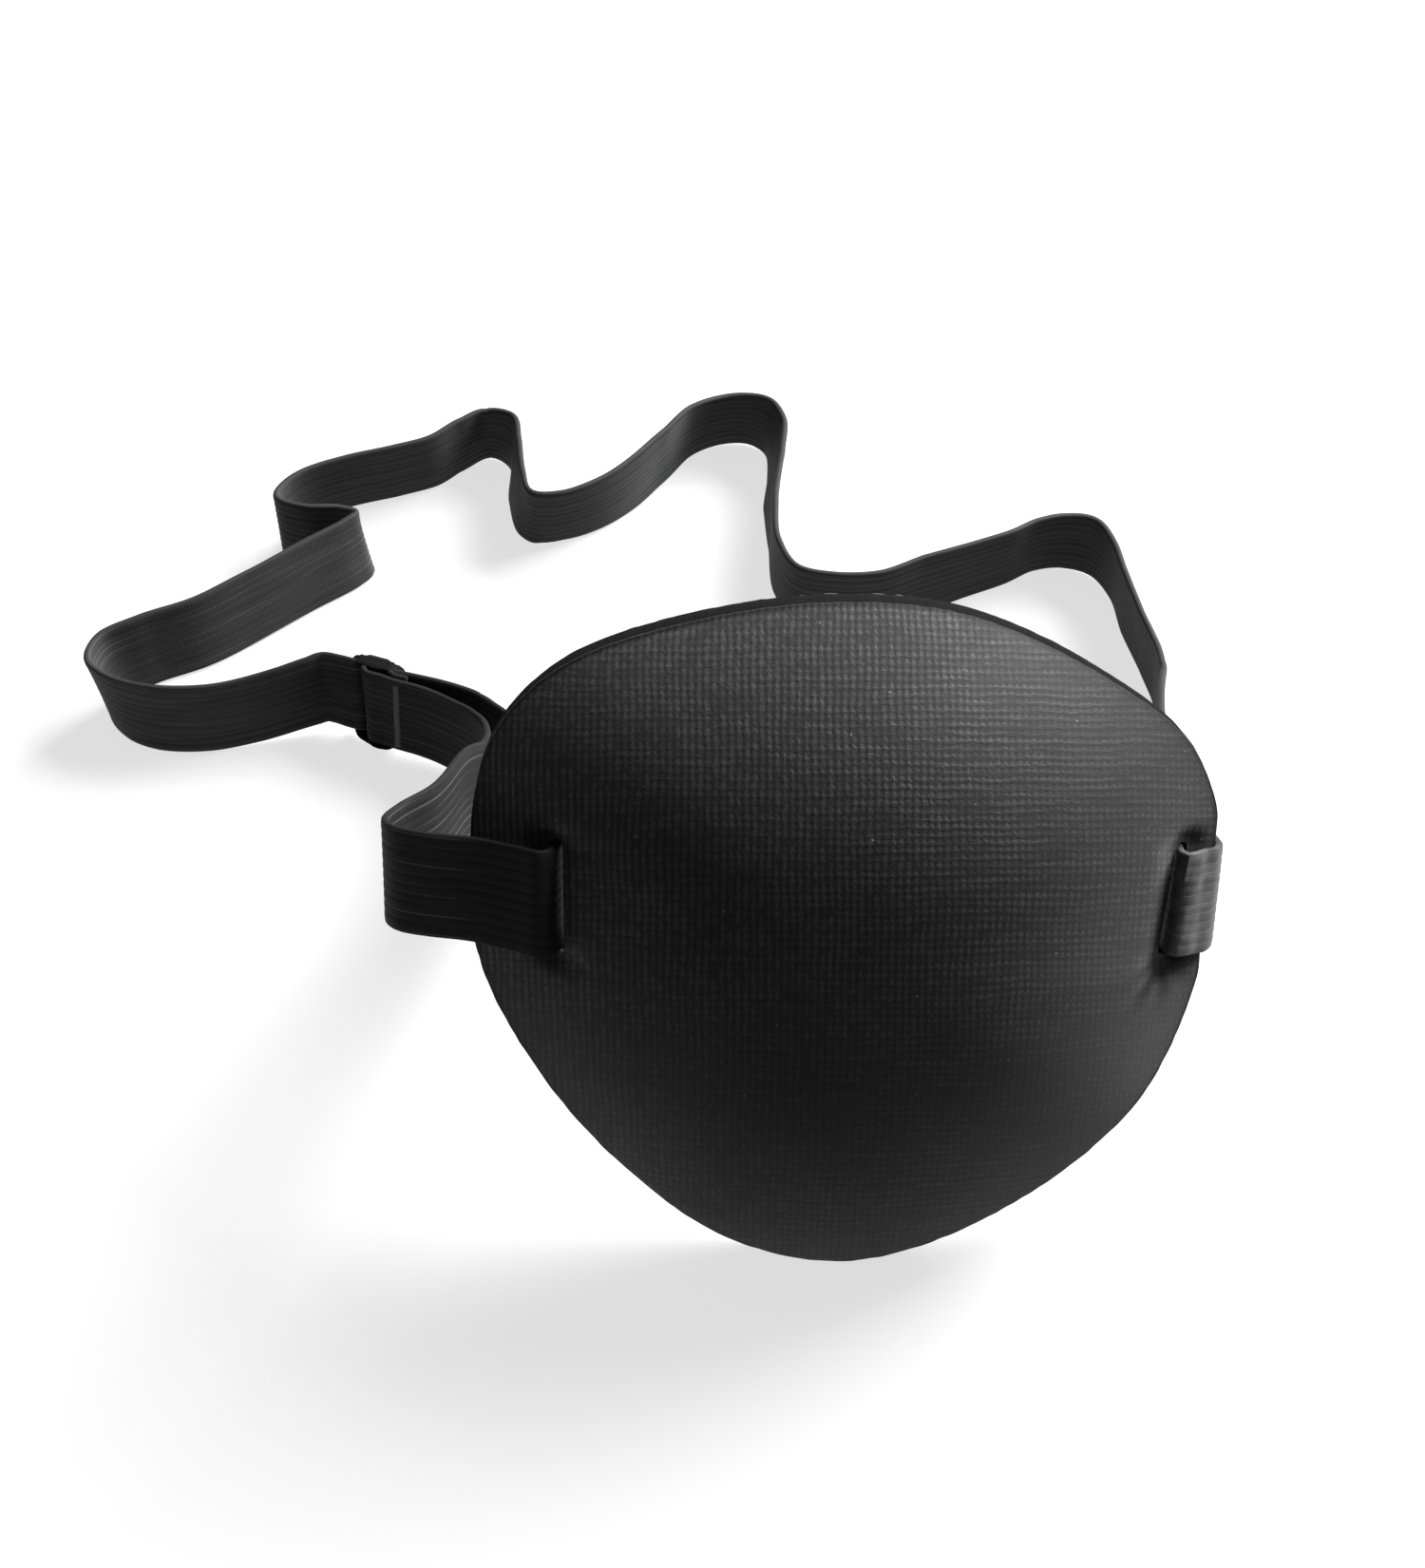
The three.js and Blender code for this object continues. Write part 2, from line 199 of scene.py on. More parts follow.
# ---- driving dimensions, in millimetres and degrees, as in the CAD ------------------------------------
LEAN = math.radians(32)                  # the rim plane leans back from vertical
RIM_AT = np.array([0, -1.7, 2.15])       # lowest point of the face's rim
ORIGIN = np.array([-1.21, 20.16, -0.005])  # where the row frame's origin is in the drawing's own axes
DOME_HEIGHT = 18
DOME_CENTRE = np.array([-1, 44.6])
WING_DROP = 3
WING_REACH = 41
RIM = [
    [0, 0], [-13.8, 2.9], [-26.1, 12.1], [-35.2, 23.3], [-41, 35.4], [-41.9, 48.1], [-39.2, 61.2],
    [-31.8, 69.3],
    [-17.9, 74.7], [-2, 77], [11.9, 75.5], [26.8, 68.4], [36.8, 60.1], [40.4, 48.8], [38.7, 34.3], [32, 18.3],
    [15.9, 5.3],
]
NIP_ANGLE = -0.03                        # where the right wrap squeezes the rim, seen from the crown
NIP_DEPTH = 1.2
NIP_HALF = 0.18                          # radians
SLOT_HEIGHT = 12.9
SLOT_WIDTH = 1.5
SLOTS = [((-31.9, 46), 0), ((34.8, 43.9), math.radians(-7))]

STRAP_WIDTH = 12
STRAP_THICK = 0.9

ACROSS = np.array([1, 0, 0])
UP_RIM = np.array([0, math.sin(LEAN), math.cos(LEAN)])
OUT_RIM = np.array([0, -math.cos(LEAN), math.sin(LEAN)])


def on_patch(u, v, w):
    """A point given across, up and out of the rim plane, in the drawing's axes."""
    u, v, w = (np.asarray(x, float)[..., None] for x in (u, v, w))
    return RIM_AT + u * ACROSS + v * UP_RIM + w * OUT_RIM


def to_frame(points):
    """Drawing millimetres to metres in the row frame."""
    return (np.asarray(points, float) - ORIGIN) * MM


def unit(v):
    return v / np.linalg.norm(v, axis=-1, keepdims=True)


def smoothstep(x, low, high):
    t = np.clip((x - low) / (high - low), 0, 1)
    return t * t * (3 - 2 * t)


def smooth_noise(count, spacing, wave):
    """A seeded wandering value, about -1 to 1, for samples that lie spacing apart."""
    knots = max(4, int(count * spacing / wave) + 4)
    values = rng.uniform(-1, 1, knots)
    at = np.arange(count) * spacing / wave
    i = np.floor(at).astype(int) % (knots - 1)
    t = at - np.floor(at)
    t = t * t * (3 - 2 * t)
    return values[i] * (1 - t) + values[i + 1] * t


# ---- camera and studio --------------------------------------------------------------------------------
CAMERA_AT = Vector((-14.04, -179.68, 274.7)) * MM
CAMERA_TILT = math.radians(40)           # from straight down
CAMERA_LENS = 68.9
WORLD_LIGHT = 0.32
KEY_AT = (0.35, 0.34, 0.42)
KEY_AIM = (0.01, 0, 0.03)
KEY_SIZE = (0.4, 0.4)
KEY_POWER = 34
FLOOR_HALF = 1.5
FLOOR_DROP = 0.00005
FLOOR_GREY = 0.1
FLOOR_GLOW = 0.7                         # the paper is lit from below as well, so shadows stay pale


def make_camera():
    data = bpy.data.cameras.new("camera")
    data.sensor_fit = "HORIZONTAL"
    data.sensor_width = 36
    data.lens = CAMERA_LENS
    camera = bpy.data.objects.new("camera", data)
    camera.location = CAMERA_AT
    camera.rotation_euler = (CAMERA_TILT, 0, 0)
    bpy.context.scene.collection.objects.link(camera)
    bpy.context.scene.camera = camera


def area_light(name, at, aim, size, power):
    data = bpy.data.lights.new(name, "AREA")
    data.shape = "RECTANGLE"
    data.size, data.size_y = size
    data.energy = power
    light = bpy.data.objects.new(name, data)
    light.location = at
    light.rotation_euler = (Vector(aim) - Vector(at)).to_track_quat("-Z", "Y").to_euler()
    bpy.context.scene.collection.objects.link(light)


def make_studio():
    scene = bpy.context.scene
    scene.view_settings.view_transform = "Standard"
    world = bpy.data.worlds.new("studio")
    world.use_nodes = True
    world.node_tree.nodes["Background"].inputs["Color"].default_value = (1, 1, 1, 1)
    world.node_tree.nodes["Background"].inputs["Strength"].default_value = WORLD_LIGHT
    scene.world = world
    area_light("key_softbox", KEY_AT, KEY_AIM, KEY_SIZE, KEY_POWER)
    mesh = bpy.data.meshes.new("floor")
    corners = [(x * FLOOR_HALF, y * FLOOR_HALF, 0) for x, y in ((-1, -1), (1, -1), (1, 1), (-1, 1))]
    mesh.from_pydata(corners, [], [(0, 1, 2, 3)])
    floor = bpy.data.objects.new("floor", mesh)
    floor.location.z = -FLOOR_DROP
    scene.collection.objects.link(floor)
    material = bpy.data.materials.new("floor_paper")
    material.use_nodes = True
    bsdf = material.node_tree.nodes["Principled BSDF"]
    bsdf.inputs["Base Color"].default_value = (FLOOR_GREY, FLOOR_GREY, FLOOR_GREY, 1)
    bsdf.inputs["Roughness"].default_value = 0.9
    bsdf.inputs["Emission Color"].default_value = (1, 1, 1, 1)
    bsdf.inputs["Emission Strength"].default_value = FLOOR_GLOW
    mesh.materials.append(material)
    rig.stage(floor)


make_camera()
make_studio()

# ---- the strap's route --------------------------------------------------------------------------------
# Route points: x, y, z of the centre line, how far the top edge leans back, and how far it leans right.
GROUND = 6.1
WRAP_RIGHT = [
    [36.7, 43.6, -22, 6], [36.5, 43.6, -17.5, 6], [35.7, 43.8, -12, 6], [35, 44, -7, 6], [34.8, 44.1, -2, 6],
    [34.7, 44.1, 1, 6], [35.2, 44.1, 2.2, 5], [36.3, 43.9, 1.5, 4], [37.7, 43.5, -0.3, 3],
    [39.2, 43.1, -2.1, 3],
    [40.1, 42.9, -4.5, 3], [40, 42.8, -8, 3], [39.5, 42.9, -12.5, 5], [38.7, 43.4, -18, 6],
    [38.5, 43.6, -22.5, 6],
]
RIGHT_END = [[*on_patch(u, v, w), 32, right] for u, v, w, right in WRAP_RIGHT] + [
    [38.5, 48.2, 23.6, 25, 5], [39.2, 56, 18.2, 18, 3], [40.9, 65, 12.9, 11, 0],
]
RUN = [
    [42.65, 75.4, 8.5, 4, -3], [43.7, 79.8, 7, 2, -5], [43.9, 85, GROUND, 0, -6], [42.6, 91, GROUND, 0, -7],
    [41, 98, GROUND, 0, -5], [39.9, 104.4, GROUND, 0, -6], [37.5, 108.8, GROUND, -4, -3],
    [33.6, 110, GROUND, -8], [29.6, 109.3, GROUND, -9], [25.4, 106.8, GROUND, -8], [19.4, 104.1, GROUND, -7],
    [13.4, 101.5, GROUND, -4], [7.4, 99, GROUND, -8], [1.6, 98.8, GROUND, -10], [-3.8, 100.2, GROUND, -9],
    [-6.3, 105, GROUND, -4], [-6.7, 113.5, GROUND, 0, 2], [-6.6, 122, GROUND, 0, 11],
    [-6.1, 128.6, GROUND, -3, 10], [-7.4, 133, GROUND, -8, 3], [-10.2, 134.7, GROUND, -12],
    [-14.2, 134.5, GROUND, -13], [-18.4, 132.4, GROUND, -13], [-22.4, 127, GROUND, -12],
    [-26.4, 121.8, GROUND, -11], [-31, 117.6, GROUND, -12], [-36, 115, GROUND, -13],
    [-40, 114.7, GROUND, -11],
    [-42.1, 117.4, GROUND, -4, 7], [-43.3, 124, GROUND, 0, 9], [-44.1, 129.8, GROUND, -8, 5],
    [-47.6, 131.8, GROUND, -14], [-51.4, 129.4, GROUND, -13], [-55.2, 126, GROUND, -12],
    [-60, 124, GROUND, -12], [-66.6, 121.9, GROUND, -12], [-71.5, 119.6, GROUND, -13],
    [-74.6, 116.2, GROUND, -8],
    [-75.4, 113, GROUND, -1], [-71.6, 111, GROUND, 0], [-66.2, 110.8, GROUND, 0, -4],
    [-63.7, 109.7, GROUND, 2, -7], [-65.2, 107.6, GROUND, 6, -4], [-70.6, 103.4, GROUND, 9],
    [-77.6, 97.6, GROUND, 9], [-84.2, 92.7, GROUND, 8], [-90.9, 89.5, GROUND, 4, -6],
    [-95.4, 86.5, GROUND, 2, -9], [-96.3, 82.6, GROUND, 0, -9], [-93.4, 79.3, GROUND, 2, -6],
    [-88.4, 77.4, GROUND, 3], [-81.6, 77.2, GROUND, 3], [-76, 78.3, 6.4, 3], [-71, 79.7, 7, 3],
    [-68, 80.7, 7.4, 5], [-66.2, 81.35, 7.5, 7],
]
THREAD_LEAN = 9
THREAD_START = np.array([-64.6, 81, 7.5])
THREAD_END = np.array([-47.4, 75.2, 7.5])
LOOP_LEFT = [
    [-32.9, 46, -14], [-32, 46, -7], [-31.8, 46, -1], [-31.9, 46.1, 5.4], [-33.3, 46.2, 7.7],
    [-36.3, 46.3, 6.2], [-41, 46.4, 3.8], [-46.2, 46.4, 2.1], [-49.6, 46.4, 0.1], [-51, 46.3, -3.3],
    [-49.8, 46.4, -7.6], [-46.7, 46.8, -13],
]
LEFT_END = [
    [-47.07, 75.09, 7.5, 9], [-45, 73.9, 7.5, 9], [-42.6, 70.8, 8.5, 10], [-40.2, 66.3, 10.6, 14],
    [-38.2, 60.3, 14.2, 18], [-36, 52.5, 19.1, 24], [-34.6, 44.6, 25.4, 30],
] + [[*on_patch(*p), 32] for p in LOOP_LEFT] + [
    [-44.2, 45.2, 28.2, 28], [-43, 52.2, 21.6, 23], [-43.1, 59.6, 15.4, 17],
]
RETURN_END = [[-44.4, 66.2, 10.9, 13], [-47.1, 70.9, 8.6, 10]]   # from the loop back to the adjuster

# the adjuster's own axes: x along the strap towards the patch, y through the strap away from the front, z up
ADJUSTER_AT = 5.4
ADJUSTER_LENGTH = 7.8
ADJUSTER_HEIGHT = 14.2
ALONG = unit(THREAD_END - THREAD_START)
THREAD_TOP = np.array([0, math.sin(math.radians(THREAD_LEAN)), math.cos(math.radians(THREAD_LEAN))])
THREAD_TOP = unit(THREAD_TOP - THREAD_TOP.dot(ALONG) * ALONG)
THROUGH = np.cross(THREAD_TOP, ALONG)
ADJUSTER_CENTRE = THREAD_START + ALONG * ADJUSTER_AT


def on_adjuster(x, y, z=0.0):
    x, y, z = (np.asarray(c, float)[..., None] for c in (x, y, z))
    return ADJUSTER_CENTRE + x * ALONG + y * THROUGH + z * THREAD_TOP


# ---- sweeps -------------------------------------------------------------------------------------------
def curve_through(points, per_span=24, closed=False):
    """A centripetal Catmull-Rom curve, and each sample's place along the list of points."""
    p = np.asarray(points, float)
    if closed:
        p = np.vstack([p[-1], p, p[0], p[1]])
    else:
        p = np.vstack([2 * p[0] - p[1], p, 2 * p[-1] - p[-2]])
    out, place = [], []
    t = np.linspace(0, 1, per_span, endpoint=False)[:, None]
    for i in range(1, len(p) - 2):
        x0, x1, x2, x3 = p[i - 1:i + 3]
        d0, d1, d2 = (max(np.linalg.norm(b - a), 1e-9) ** 0.5 for a, b in ((x0, x1), (x1, x2), (x2, x3)))
        m1 = ((x1 - x0) / d0 - (x2 - x0) / (d0 + d1) + (x2 - x1) / d1) * d1
        m2 = ((x2 - x1) / d1 - (x3 - x1) / (d1 + d2) + (x3 - x2) / d2) * d1
        c2, c3 = -3 * x1 + 3 * x2 - 2 * m1 - m2, 2 * x1 - 2 * x2 + m1 + m2
        out.append(x1 + m1 * t + c2 * t**2 + c3 * t**3)
        place.append(i - 1 + t[:, 0])
    if not closed:
        out.append(p[-2:-1])
        place.append(np.array([len(p) - 3.0]))
    return np.vstack(out), np.concatenate(place)


def top_vector(lean, right=0.0):
    back = math.radians(lean)
    return unit(np.array([math.tan(math.radians(right)), math.sin(back), math.cos(back)]))


def along_route(route, cuts, steps):
    """The whole route on one curve, cut at points of its list: centres, tangents, tops, distances."""
    fine, place = curve_through([p[:3] for p in route])
    tops = np.array([top_vector(*p[3:]) for p in route])
    lengths = np.concatenate([[0], np.cumsum(np.linalg.norm(np.diff(fine, axis=0), axis=1))])
    headings = unit(np.gradient(fine, lengths, axis=0))
    ends = np.interp(cuts, place, lengths)
    for first, last, step in zip(ends, ends[1:], steps):
        at = np.linspace(first, last, max(3, int(round((last - first) / step)) + 1))
        centres, tangents = (
            np.stack([np.interp(at, lengths, a[:, i]) for i in range(3)], 1) for a in (fine, headings)
        )
        where = np.interp(at, lengths, place)
        up = np.stack([np.interp(where, np.arange(len(tops)), tops[:, i]) for i in range(3)], 1)
        tangents = unit(tangents)
        up = unit(up - (up * tangents).sum(1)[:, None] * tangents)
        yield centres, tangents, up, at


RIBS = 10
RIB_SAMPLES = (0.0, 0.3, 0.7)
GROOVE = 0.05
SELVEDGE = 0.35                          # plain woven edge outside the ribs


def strap_section():
    """Across and through coordinates of the ribbed section, round its outline."""
    ribbed = STRAP_WIDTH - 2 * SELVEDGE
    pitch = ribbed / RIBS
    half = STRAP_THICK / 2
    across, through = [], []
    for i in range(RIBS):
        for phase in RIB_SAMPLES:
            across.append(-ribbed / 2 + (i + phase) * pitch)
            through.append(half - GROOVE * (1 - math.sin(math.pi * phase) ** 0.5))
    across.append(ribbed / 2)
    through.append(half - GROOVE)
    across, through = np.array(across), np.array(through)
    turn = np.linspace(0, math.pi, 9)[1:-1]
    edge = half - 0.5 * GROOVE
    right = np.stack([ribbed / 2 + (SELVEDGE) * np.sin(turn), edge * np.cos(turn)], 1)
    front = np.stack([across, through], 1)
    loop = np.vstack([front, right, -front, -right])
    return loop[:, 0], loop[:, 1]


def make_mesh(name, points, faces, uv=None, sharp=60):
    """A mesh from drawing millimetres, facing outwards, with smooth shading."""
    mesh = bpy.data.meshes.new(name)
    mesh.from_pydata(to_frame(points).tolist(), [], [list(map(int, f)) for f in faces])
    if uv is not None:
        layer = mesh.uv_layers.new(name="lay")
        corner = np.zeros(len(mesh.loops), np.int32)
        mesh.loops.foreach_get("vertex_index", corner)
        layer.data.foreach_set("uv", np.asarray(uv, np.float32)[corner].ravel())
    mesh.update()
    if signed_volume(mesh) < 0:
        mesh.flip_normals()
    mesh.shade_smooth()
    mesh.set_sharp_from_angle(angle=math.radians(sharp))
    thing = bpy.data.objects.new(name, mesh)
    bpy.context.scene.collection.objects.link(thing)
    return thing


def signed_volume(mesh):
    mesh.calc_loop_triangles()
    co = np.zeros(len(mesh.vertices) * 3)
    mesh.vertices.foreach_get("co", co)
    tri = np.zeros(len(mesh.loop_triangles) * 3, np.int32)
    mesh.loop_triangles.foreach_get("vertices", tri)
    a, b, c = co.reshape(-1, 3)[tri.reshape(-1, 3)].transpose(1, 0, 2)
    return (a * np.cross(b, c)).sum()


def ring_faces(rings, size, closed=False, caps=True):
    """Quads between rings of size points each, and caps at both ends."""
    faces = []
    for i in range(rings if closed else rings - 1):
        a, b = i * size, (i + 1) % rings * size
        faces += [(a + j, a + (j + 1) % size, b + (j + 1) % size, b + j) for j in range(size)]
    if caps and not closed:
        faces += [tuple(reversed(range(size))), tuple(range((rings - 1) * size, rings * size))]
    return faces


WANDER_STEP = 1.0
WANDER_REACH = 700
WANDER_AT = np.arange(WANDER_REACH) * WANDER_STEP
WIDTH_WANDER, SWAY, CURL = (smooth_noise(WANDER_REACH, WANDER_STEP, wave) for wave in (6, 9, 13))


def strap_mesh(name, centres, tangents, tops, at):
    across, through = strap_section()
    rings = len(centres)
    width, sway, curl = (np.interp(at, WANDER_AT, a) for a in (WIDTH_WANDER, SWAY, CURL))
    sides = np.cross(tangents, tops)
    a = across[None] * (1 + 0.012 * width[:, None])
    b = through[None] + 0.1 * sway[:, None] + 0.14 * curl[:, None] * (across[None] / (STRAP_WIDTH / 2)) ** 2
    points = centres[:, None] + a[..., None] * tops[:, None] + b[..., None] * sides[:, None]
    uv = np.stack([np.repeat(at, len(across)), np.tile(across, rings)], 1)
    return make_mesh(name, points.reshape(-1, 3), ring_faces(rings, len(across)), uv=uv, sharp=70)


def tube(name_points, radius, sides=6, closed=False):
    """Points and faces of a round thread along a line."""
    p = np.asarray(name_points, float)
    tangents = unit(np.gradient(p, axis=0))
    helper = np.array([0.31, 0.87, 0.39])
    n = unit(np.cross(tangents, helper))
    b = np.cross(tangents, n)
    turn = np.linspace(0, 2 * math.pi, sides, endpoint=False)
    ring = radius * (np.cos(turn)[None, :, None] * n[:, None] + np.sin(turn)[None, :, None] * b[:, None])
    return (p[:, None] + ring).reshape(-1, 3), ring_faces(len(p), sides, closed)


def join_parts(parts):
    points, faces, start = [], [], 0
    for p, f in parts:
        points.append(p)
        faces += [tuple(i + start for i in face) for face in f]
        start += len(p)
    return np.vstack(points), faces


# ---- materials ----------------------------------------------------------------------------------------
class Shader:
    """A node material built from short calls."""

    def __init__(self, name, color, roughness, specular, sheen=0.0, sheen_roughness=0.4, sheen_tint=1.0):
        self.material = bpy.data.materials.new(name)
        self.material.use_nodes = True
        self.tree = self.material.node_tree
        self.bsdf = self.tree.nodes["Principled BSDF"]
        self.bsdf.inputs["Base Color"].default_value = (*color, 1)
        self.bsdf.inputs["Roughness"].default_value = roughness
        self.bsdf.inputs["Specular IOR Level"].default_value = specular
        self.bsdf.inputs["Sheen Weight"].default_value = sheen
        self.bsdf.inputs["Sheen Roughness"].default_value = sheen_roughness
        self.bsdf.inputs["Sheen Tint"].default_value = (sheen_tint, sheen_tint, sheen_tint, 1)

    def node(self, kind, **settings):
        made = self.tree.nodes.new(kind)
        for key, value in settings.items():
            setattr(made, key, value)
        return made

    def put(self, socket, value):
        if isinstance(value, bpy.types.NodeSocket):
            self.tree.links.new(value, socket)
        else:
            socket.default_value = value

    def math(self, operation, *values):
        made = self.node("ShaderNodeMath", operation=operation)
        for socket, value in zip(made.inputs, values):
            self.put(socket, value)
        return made.outputs[0]

    def split(self, vector):
        made = self.node("ShaderNodeSeparateXYZ")
        self.put(made.inputs[0], vector)
        return made.outputs

    def noise(self, vector, scale, detail=2.0, roughness=0.5):
        made = self.node("ShaderNodeTexNoise")
        self.put(made.inputs["Vector"], vector)
        made.inputs["Scale"].default_value = scale
        made.inputs["Detail"].default_value = detail
        made.inputs["Roughness"].default_value = roughness
        return made.outputs["Fac"]

    def remap(self, value, from_low, from_high, to_low=0.0, to_high=1.0, smooth=True):
        made = self.node("ShaderNodeMapRange", interpolation_type="SMOOTHSTEP" if smooth else "LINEAR")
        for socket, v in zip(made.inputs, (value, from_low, from_high, to_low, to_high)):
            self.put(socket, v)
        return made.outputs[0]

    def mix(self, factor, a, b):
        made = self.node("ShaderNodeMix", data_type="RGBA")
        self.put(made.inputs["Factor"], factor)
        self.put(made.inputs["A"], (*a, 1) if isinstance(a, tuple) else a)
        self.put(made.inputs["B"], (*b, 1) if isinstance(b, tuple) else b)
        return made.outputs["Result"]

    def bump(self, height, distance, strength=1.0, below=None):
        made = self.node("ShaderNodeBump")
        made.inputs["Strength"].default_value = strength
        made.inputs["Distance"].default_value = distance
        self.put(made.inputs["Height"], height)
        if below is not None:
            self.put(made.inputs["Normal"], below)
        return made.outputs["Normal"]

    def ridge(self, value, pitch):
        """0 in the middle of each pitch and 1 at its edges."""
        part = self.math("FRACT", self.math("DIVIDE", value, pitch))
        return self.math("ABSOLUTE", self.math("MULTIPLY_ADD", part, 2.0, -1.0))

    def finish(self, color=None, roughness=None, normal=None):
        for name, value in (("Base Color", color), ("Roughness", roughness), ("Normal", normal)):
            if value is not None:
                self.put(self.bsdf.inputs[name], value)
        return self.material


def plane_coordinates(shader):
    """Across, up and out of the rim plane, in metres."""
    where = shader.node("ShaderNodeTexCoord").outputs["Object"]
    turn = shader.node("ShaderNodeMapping")
    turn.inputs["Rotation"].default_value = (LEAN - math.pi / 2, 0, 0)
    shader.put(turn.inputs["Vector"], where)
    return where, shader.split(turn.outputs[0])


WALE = 0.79 * MM                         # width of one column of knitted loops
COURSE = 0.84 * MM                       # height of one row
COURSE_SAG = 0.32                        # the rows sink a little where the dome is high


def knit_material():
    s = Shader(
        "black_jersey", (0.006, 0.006, 0.0062), 0.6, 0.08, sheen=0.16, sheen_roughness=0.5, sheen_tint=0.8,
    )
    where, (u, v, w) = plane_coordinates(s)
    drift = s.math("MULTIPLY_ADD", s.noise(where, 90, 2), 0.9 * MM, -0.45 * MM)
    fuzz = s.math("MULTIPLY_ADD", s.noise(where, 1700, 2), 0.45 * MM, -0.22 * MM)
    column = s.math("ADD", s.math("ADD", u, drift), fuzz)
    wale = s.ridge(column, WALE)
    level = s.math("MULTIPLY_ADD", w, -COURSE_SAG, s.math("ADD", v, s.math("ADD", drift, fuzz)))
    course = s.ridge(s.math("MULTIPLY_ADD", wale, 0.18 * COURSE, level), COURSE)
    loop = s.node("ShaderNodeCombineXYZ")
    for socket, value, pitch in zip(loop.inputs, (column, level), (WALE, COURSE)):
        s.put(socket, s.math("FLOOR", s.math("DIVIDE", value, pitch)))
    luck = s.node("ShaderNodeTexWhiteNoise", noise_dimensions="2D")
    s.put(luck.inputs["Vector"], loop.outputs[0])
    stretched = s.node("ShaderNodeCombineXYZ")
    for socket, value in zip(stretched.inputs, (s.math("MULTIPLY", u, 0.12), level, 0.0)):
        s.put(socket, value)
    streak = s.remap(s.noise(stretched.outputs[0], 1100, 2, 0.6), 0.38, 0.62)
    crossing = s.remap(u, -0.015, 0.03, 0.3, 0.7)          # rows show where the cloth is stretched sideways
    luck_share = s.math("MULTIPLY", luck.outputs["Value"], s.math("SUBTRACT", 1.0, crossing))
    chance = s.math("MULTIPLY_ADD", streak, crossing, luck_share)
    uneven = s.math("MULTIPLY_ADD", chance, 0.7, 0.3)      # some loops stand out, some sink
    calm = s.math("MULTIPLY", s.remap(v, 0.016, 0.036, 0.45, 1.0), s.remap(u, 0.005, 0.034, 1.0, 0.5))
    columns = s.math("MULTIPLY", wale, s.math("SUBTRACT", 1.1, crossing))
    rows = s.math("MULTIPLY", course, crossing)
    raised = s.math("SUBTRACT", 1.0, s.math("ADD", columns, rows))
    height = s.math("MULTIPLY", s.math("MULTIPLY", raised, uneven), calm)
    patchy = s.remap(s.noise(where, 240, 3), 0.35, 0.7)
    worn = s.remap(s.noise(where, 60, 3), 0.35, 0.7)
    fibre = s.remap(s.noise(where, 4200, 2, 0.7), 0.52, 0.72)
    fleck = s.remap(s.noise(where, 1300, 2, 0.6), 0.735, 0.775)        # a few specks of lint
    # painted shade and light: the knit's hollows are painted darker than its raised loops
    color = s.mix(s.remap(height, 0.0, 0.8), (0.002, 0.002, 0.0021), (0.008, 0.008, 0.0082))
    color = s.mix(s.math("MULTIPLY", fibre, 0.4), color, (0.014, 0.014, 0.0143))
    color = s.mix(s.math("MULTIPLY", patchy, 0.2), color, (0.0035, 0.0035, 0.0036))
    color = s.mix(s.math("MULTIPLY", fleck, 0.8), color, (0.08, 0.08, 0.081))
    share = s.split(s.node("ShaderNodeUVMap", uv_map="lay").outputs["UV"])[0]
    rim_painted_shade = s.remap(share, 0.985, 0.998)                   # painted shade: the cut edge at the rim is painted near black, where its walls would catch the lamp
    color = s.mix(rim_painted_shade, color, (0.001, 0.001, 0.001))
    # the rim's painted shade also takes the sheen off there
    nap = s.math("MULTIPLY", s.remap(height, 0.0, 0.8, 0.1, 0.23), s.math("SUBTRACT", 1.0, rim_painted_shade))
    s.put(s.bsdf.inputs["Sheen Weight"], nap)
    rough = s.math("MULTIPLY_ADD", worn, 0.08, s.remap(height, 0.0, 1.0, 0.66, 0.5))
    cloth = s.bump(fibre, 0.03 * MM, 0.5)
    return s.finish(color, rough, s.bump(height, 0.1 * MM, 0.9, below=cloth))


def foam_material():
    s = Shader("moulding_foam", (0.002, 0.002, 0.0021), 0.95, 0.02)
    where = s.node("ShaderNodeTexCoord").outputs["Object"]
    pores = s.noise(where, 5200, 3, 0.6)
    color = s.mix(s.remap(pores, 0.35, 0.7), (0.001, 0.001, 0.001), (0.003, 0.003, 0.0031))
    return s.finish(color, s.remap(pores, 0.3, 0.7, 0.95, 0.8), s.bump(pores, 0.12 * MM, 0.8))


def lining_material():
    s = Shader("smooth_tricot", (0.012, 0.012, 0.0125), 0.6, 0.25, sheen=0.1, sheen_roughness=0.35)
    where, (u, v, _) = plane_coordinates(s)
    fine = s.ridge(u, 0.42 * MM)
    slant = s.ridge(s.math("MULTIPLY_ADD", fine, 0.12 * MM, v), 0.38 * MM)
    height = s.math("SUBTRACT", 1.0, s.math("MULTIPLY_ADD", s.math("POWER", fine, 2.0), 0.6,
                                            s.math("MULTIPLY", slant, 0.35)))
    cloud = s.noise(where, 130, 3)
    # painted shade and light: the tricot's low parts are painted darker than its raised ribs
    color = s.mix(s.remap(height, 0.1, 1.0), (0.005, 0.005, 0.0052), (0.015, 0.015, 0.0155))
    color = s.mix(s.remap(cloud, 0.45, 0.75, 0.0, 0.35), color, (0.018, 0.018, 0.0185))
    return s.finish(color, s.remap(cloud, 0.3, 0.7, 0.5, 0.7), s.bump(height, 0.09 * MM, 0.8))


PAINTED_SHADE_FROM = (376, 396)                  # mm along the strap over which the painted shade fades in
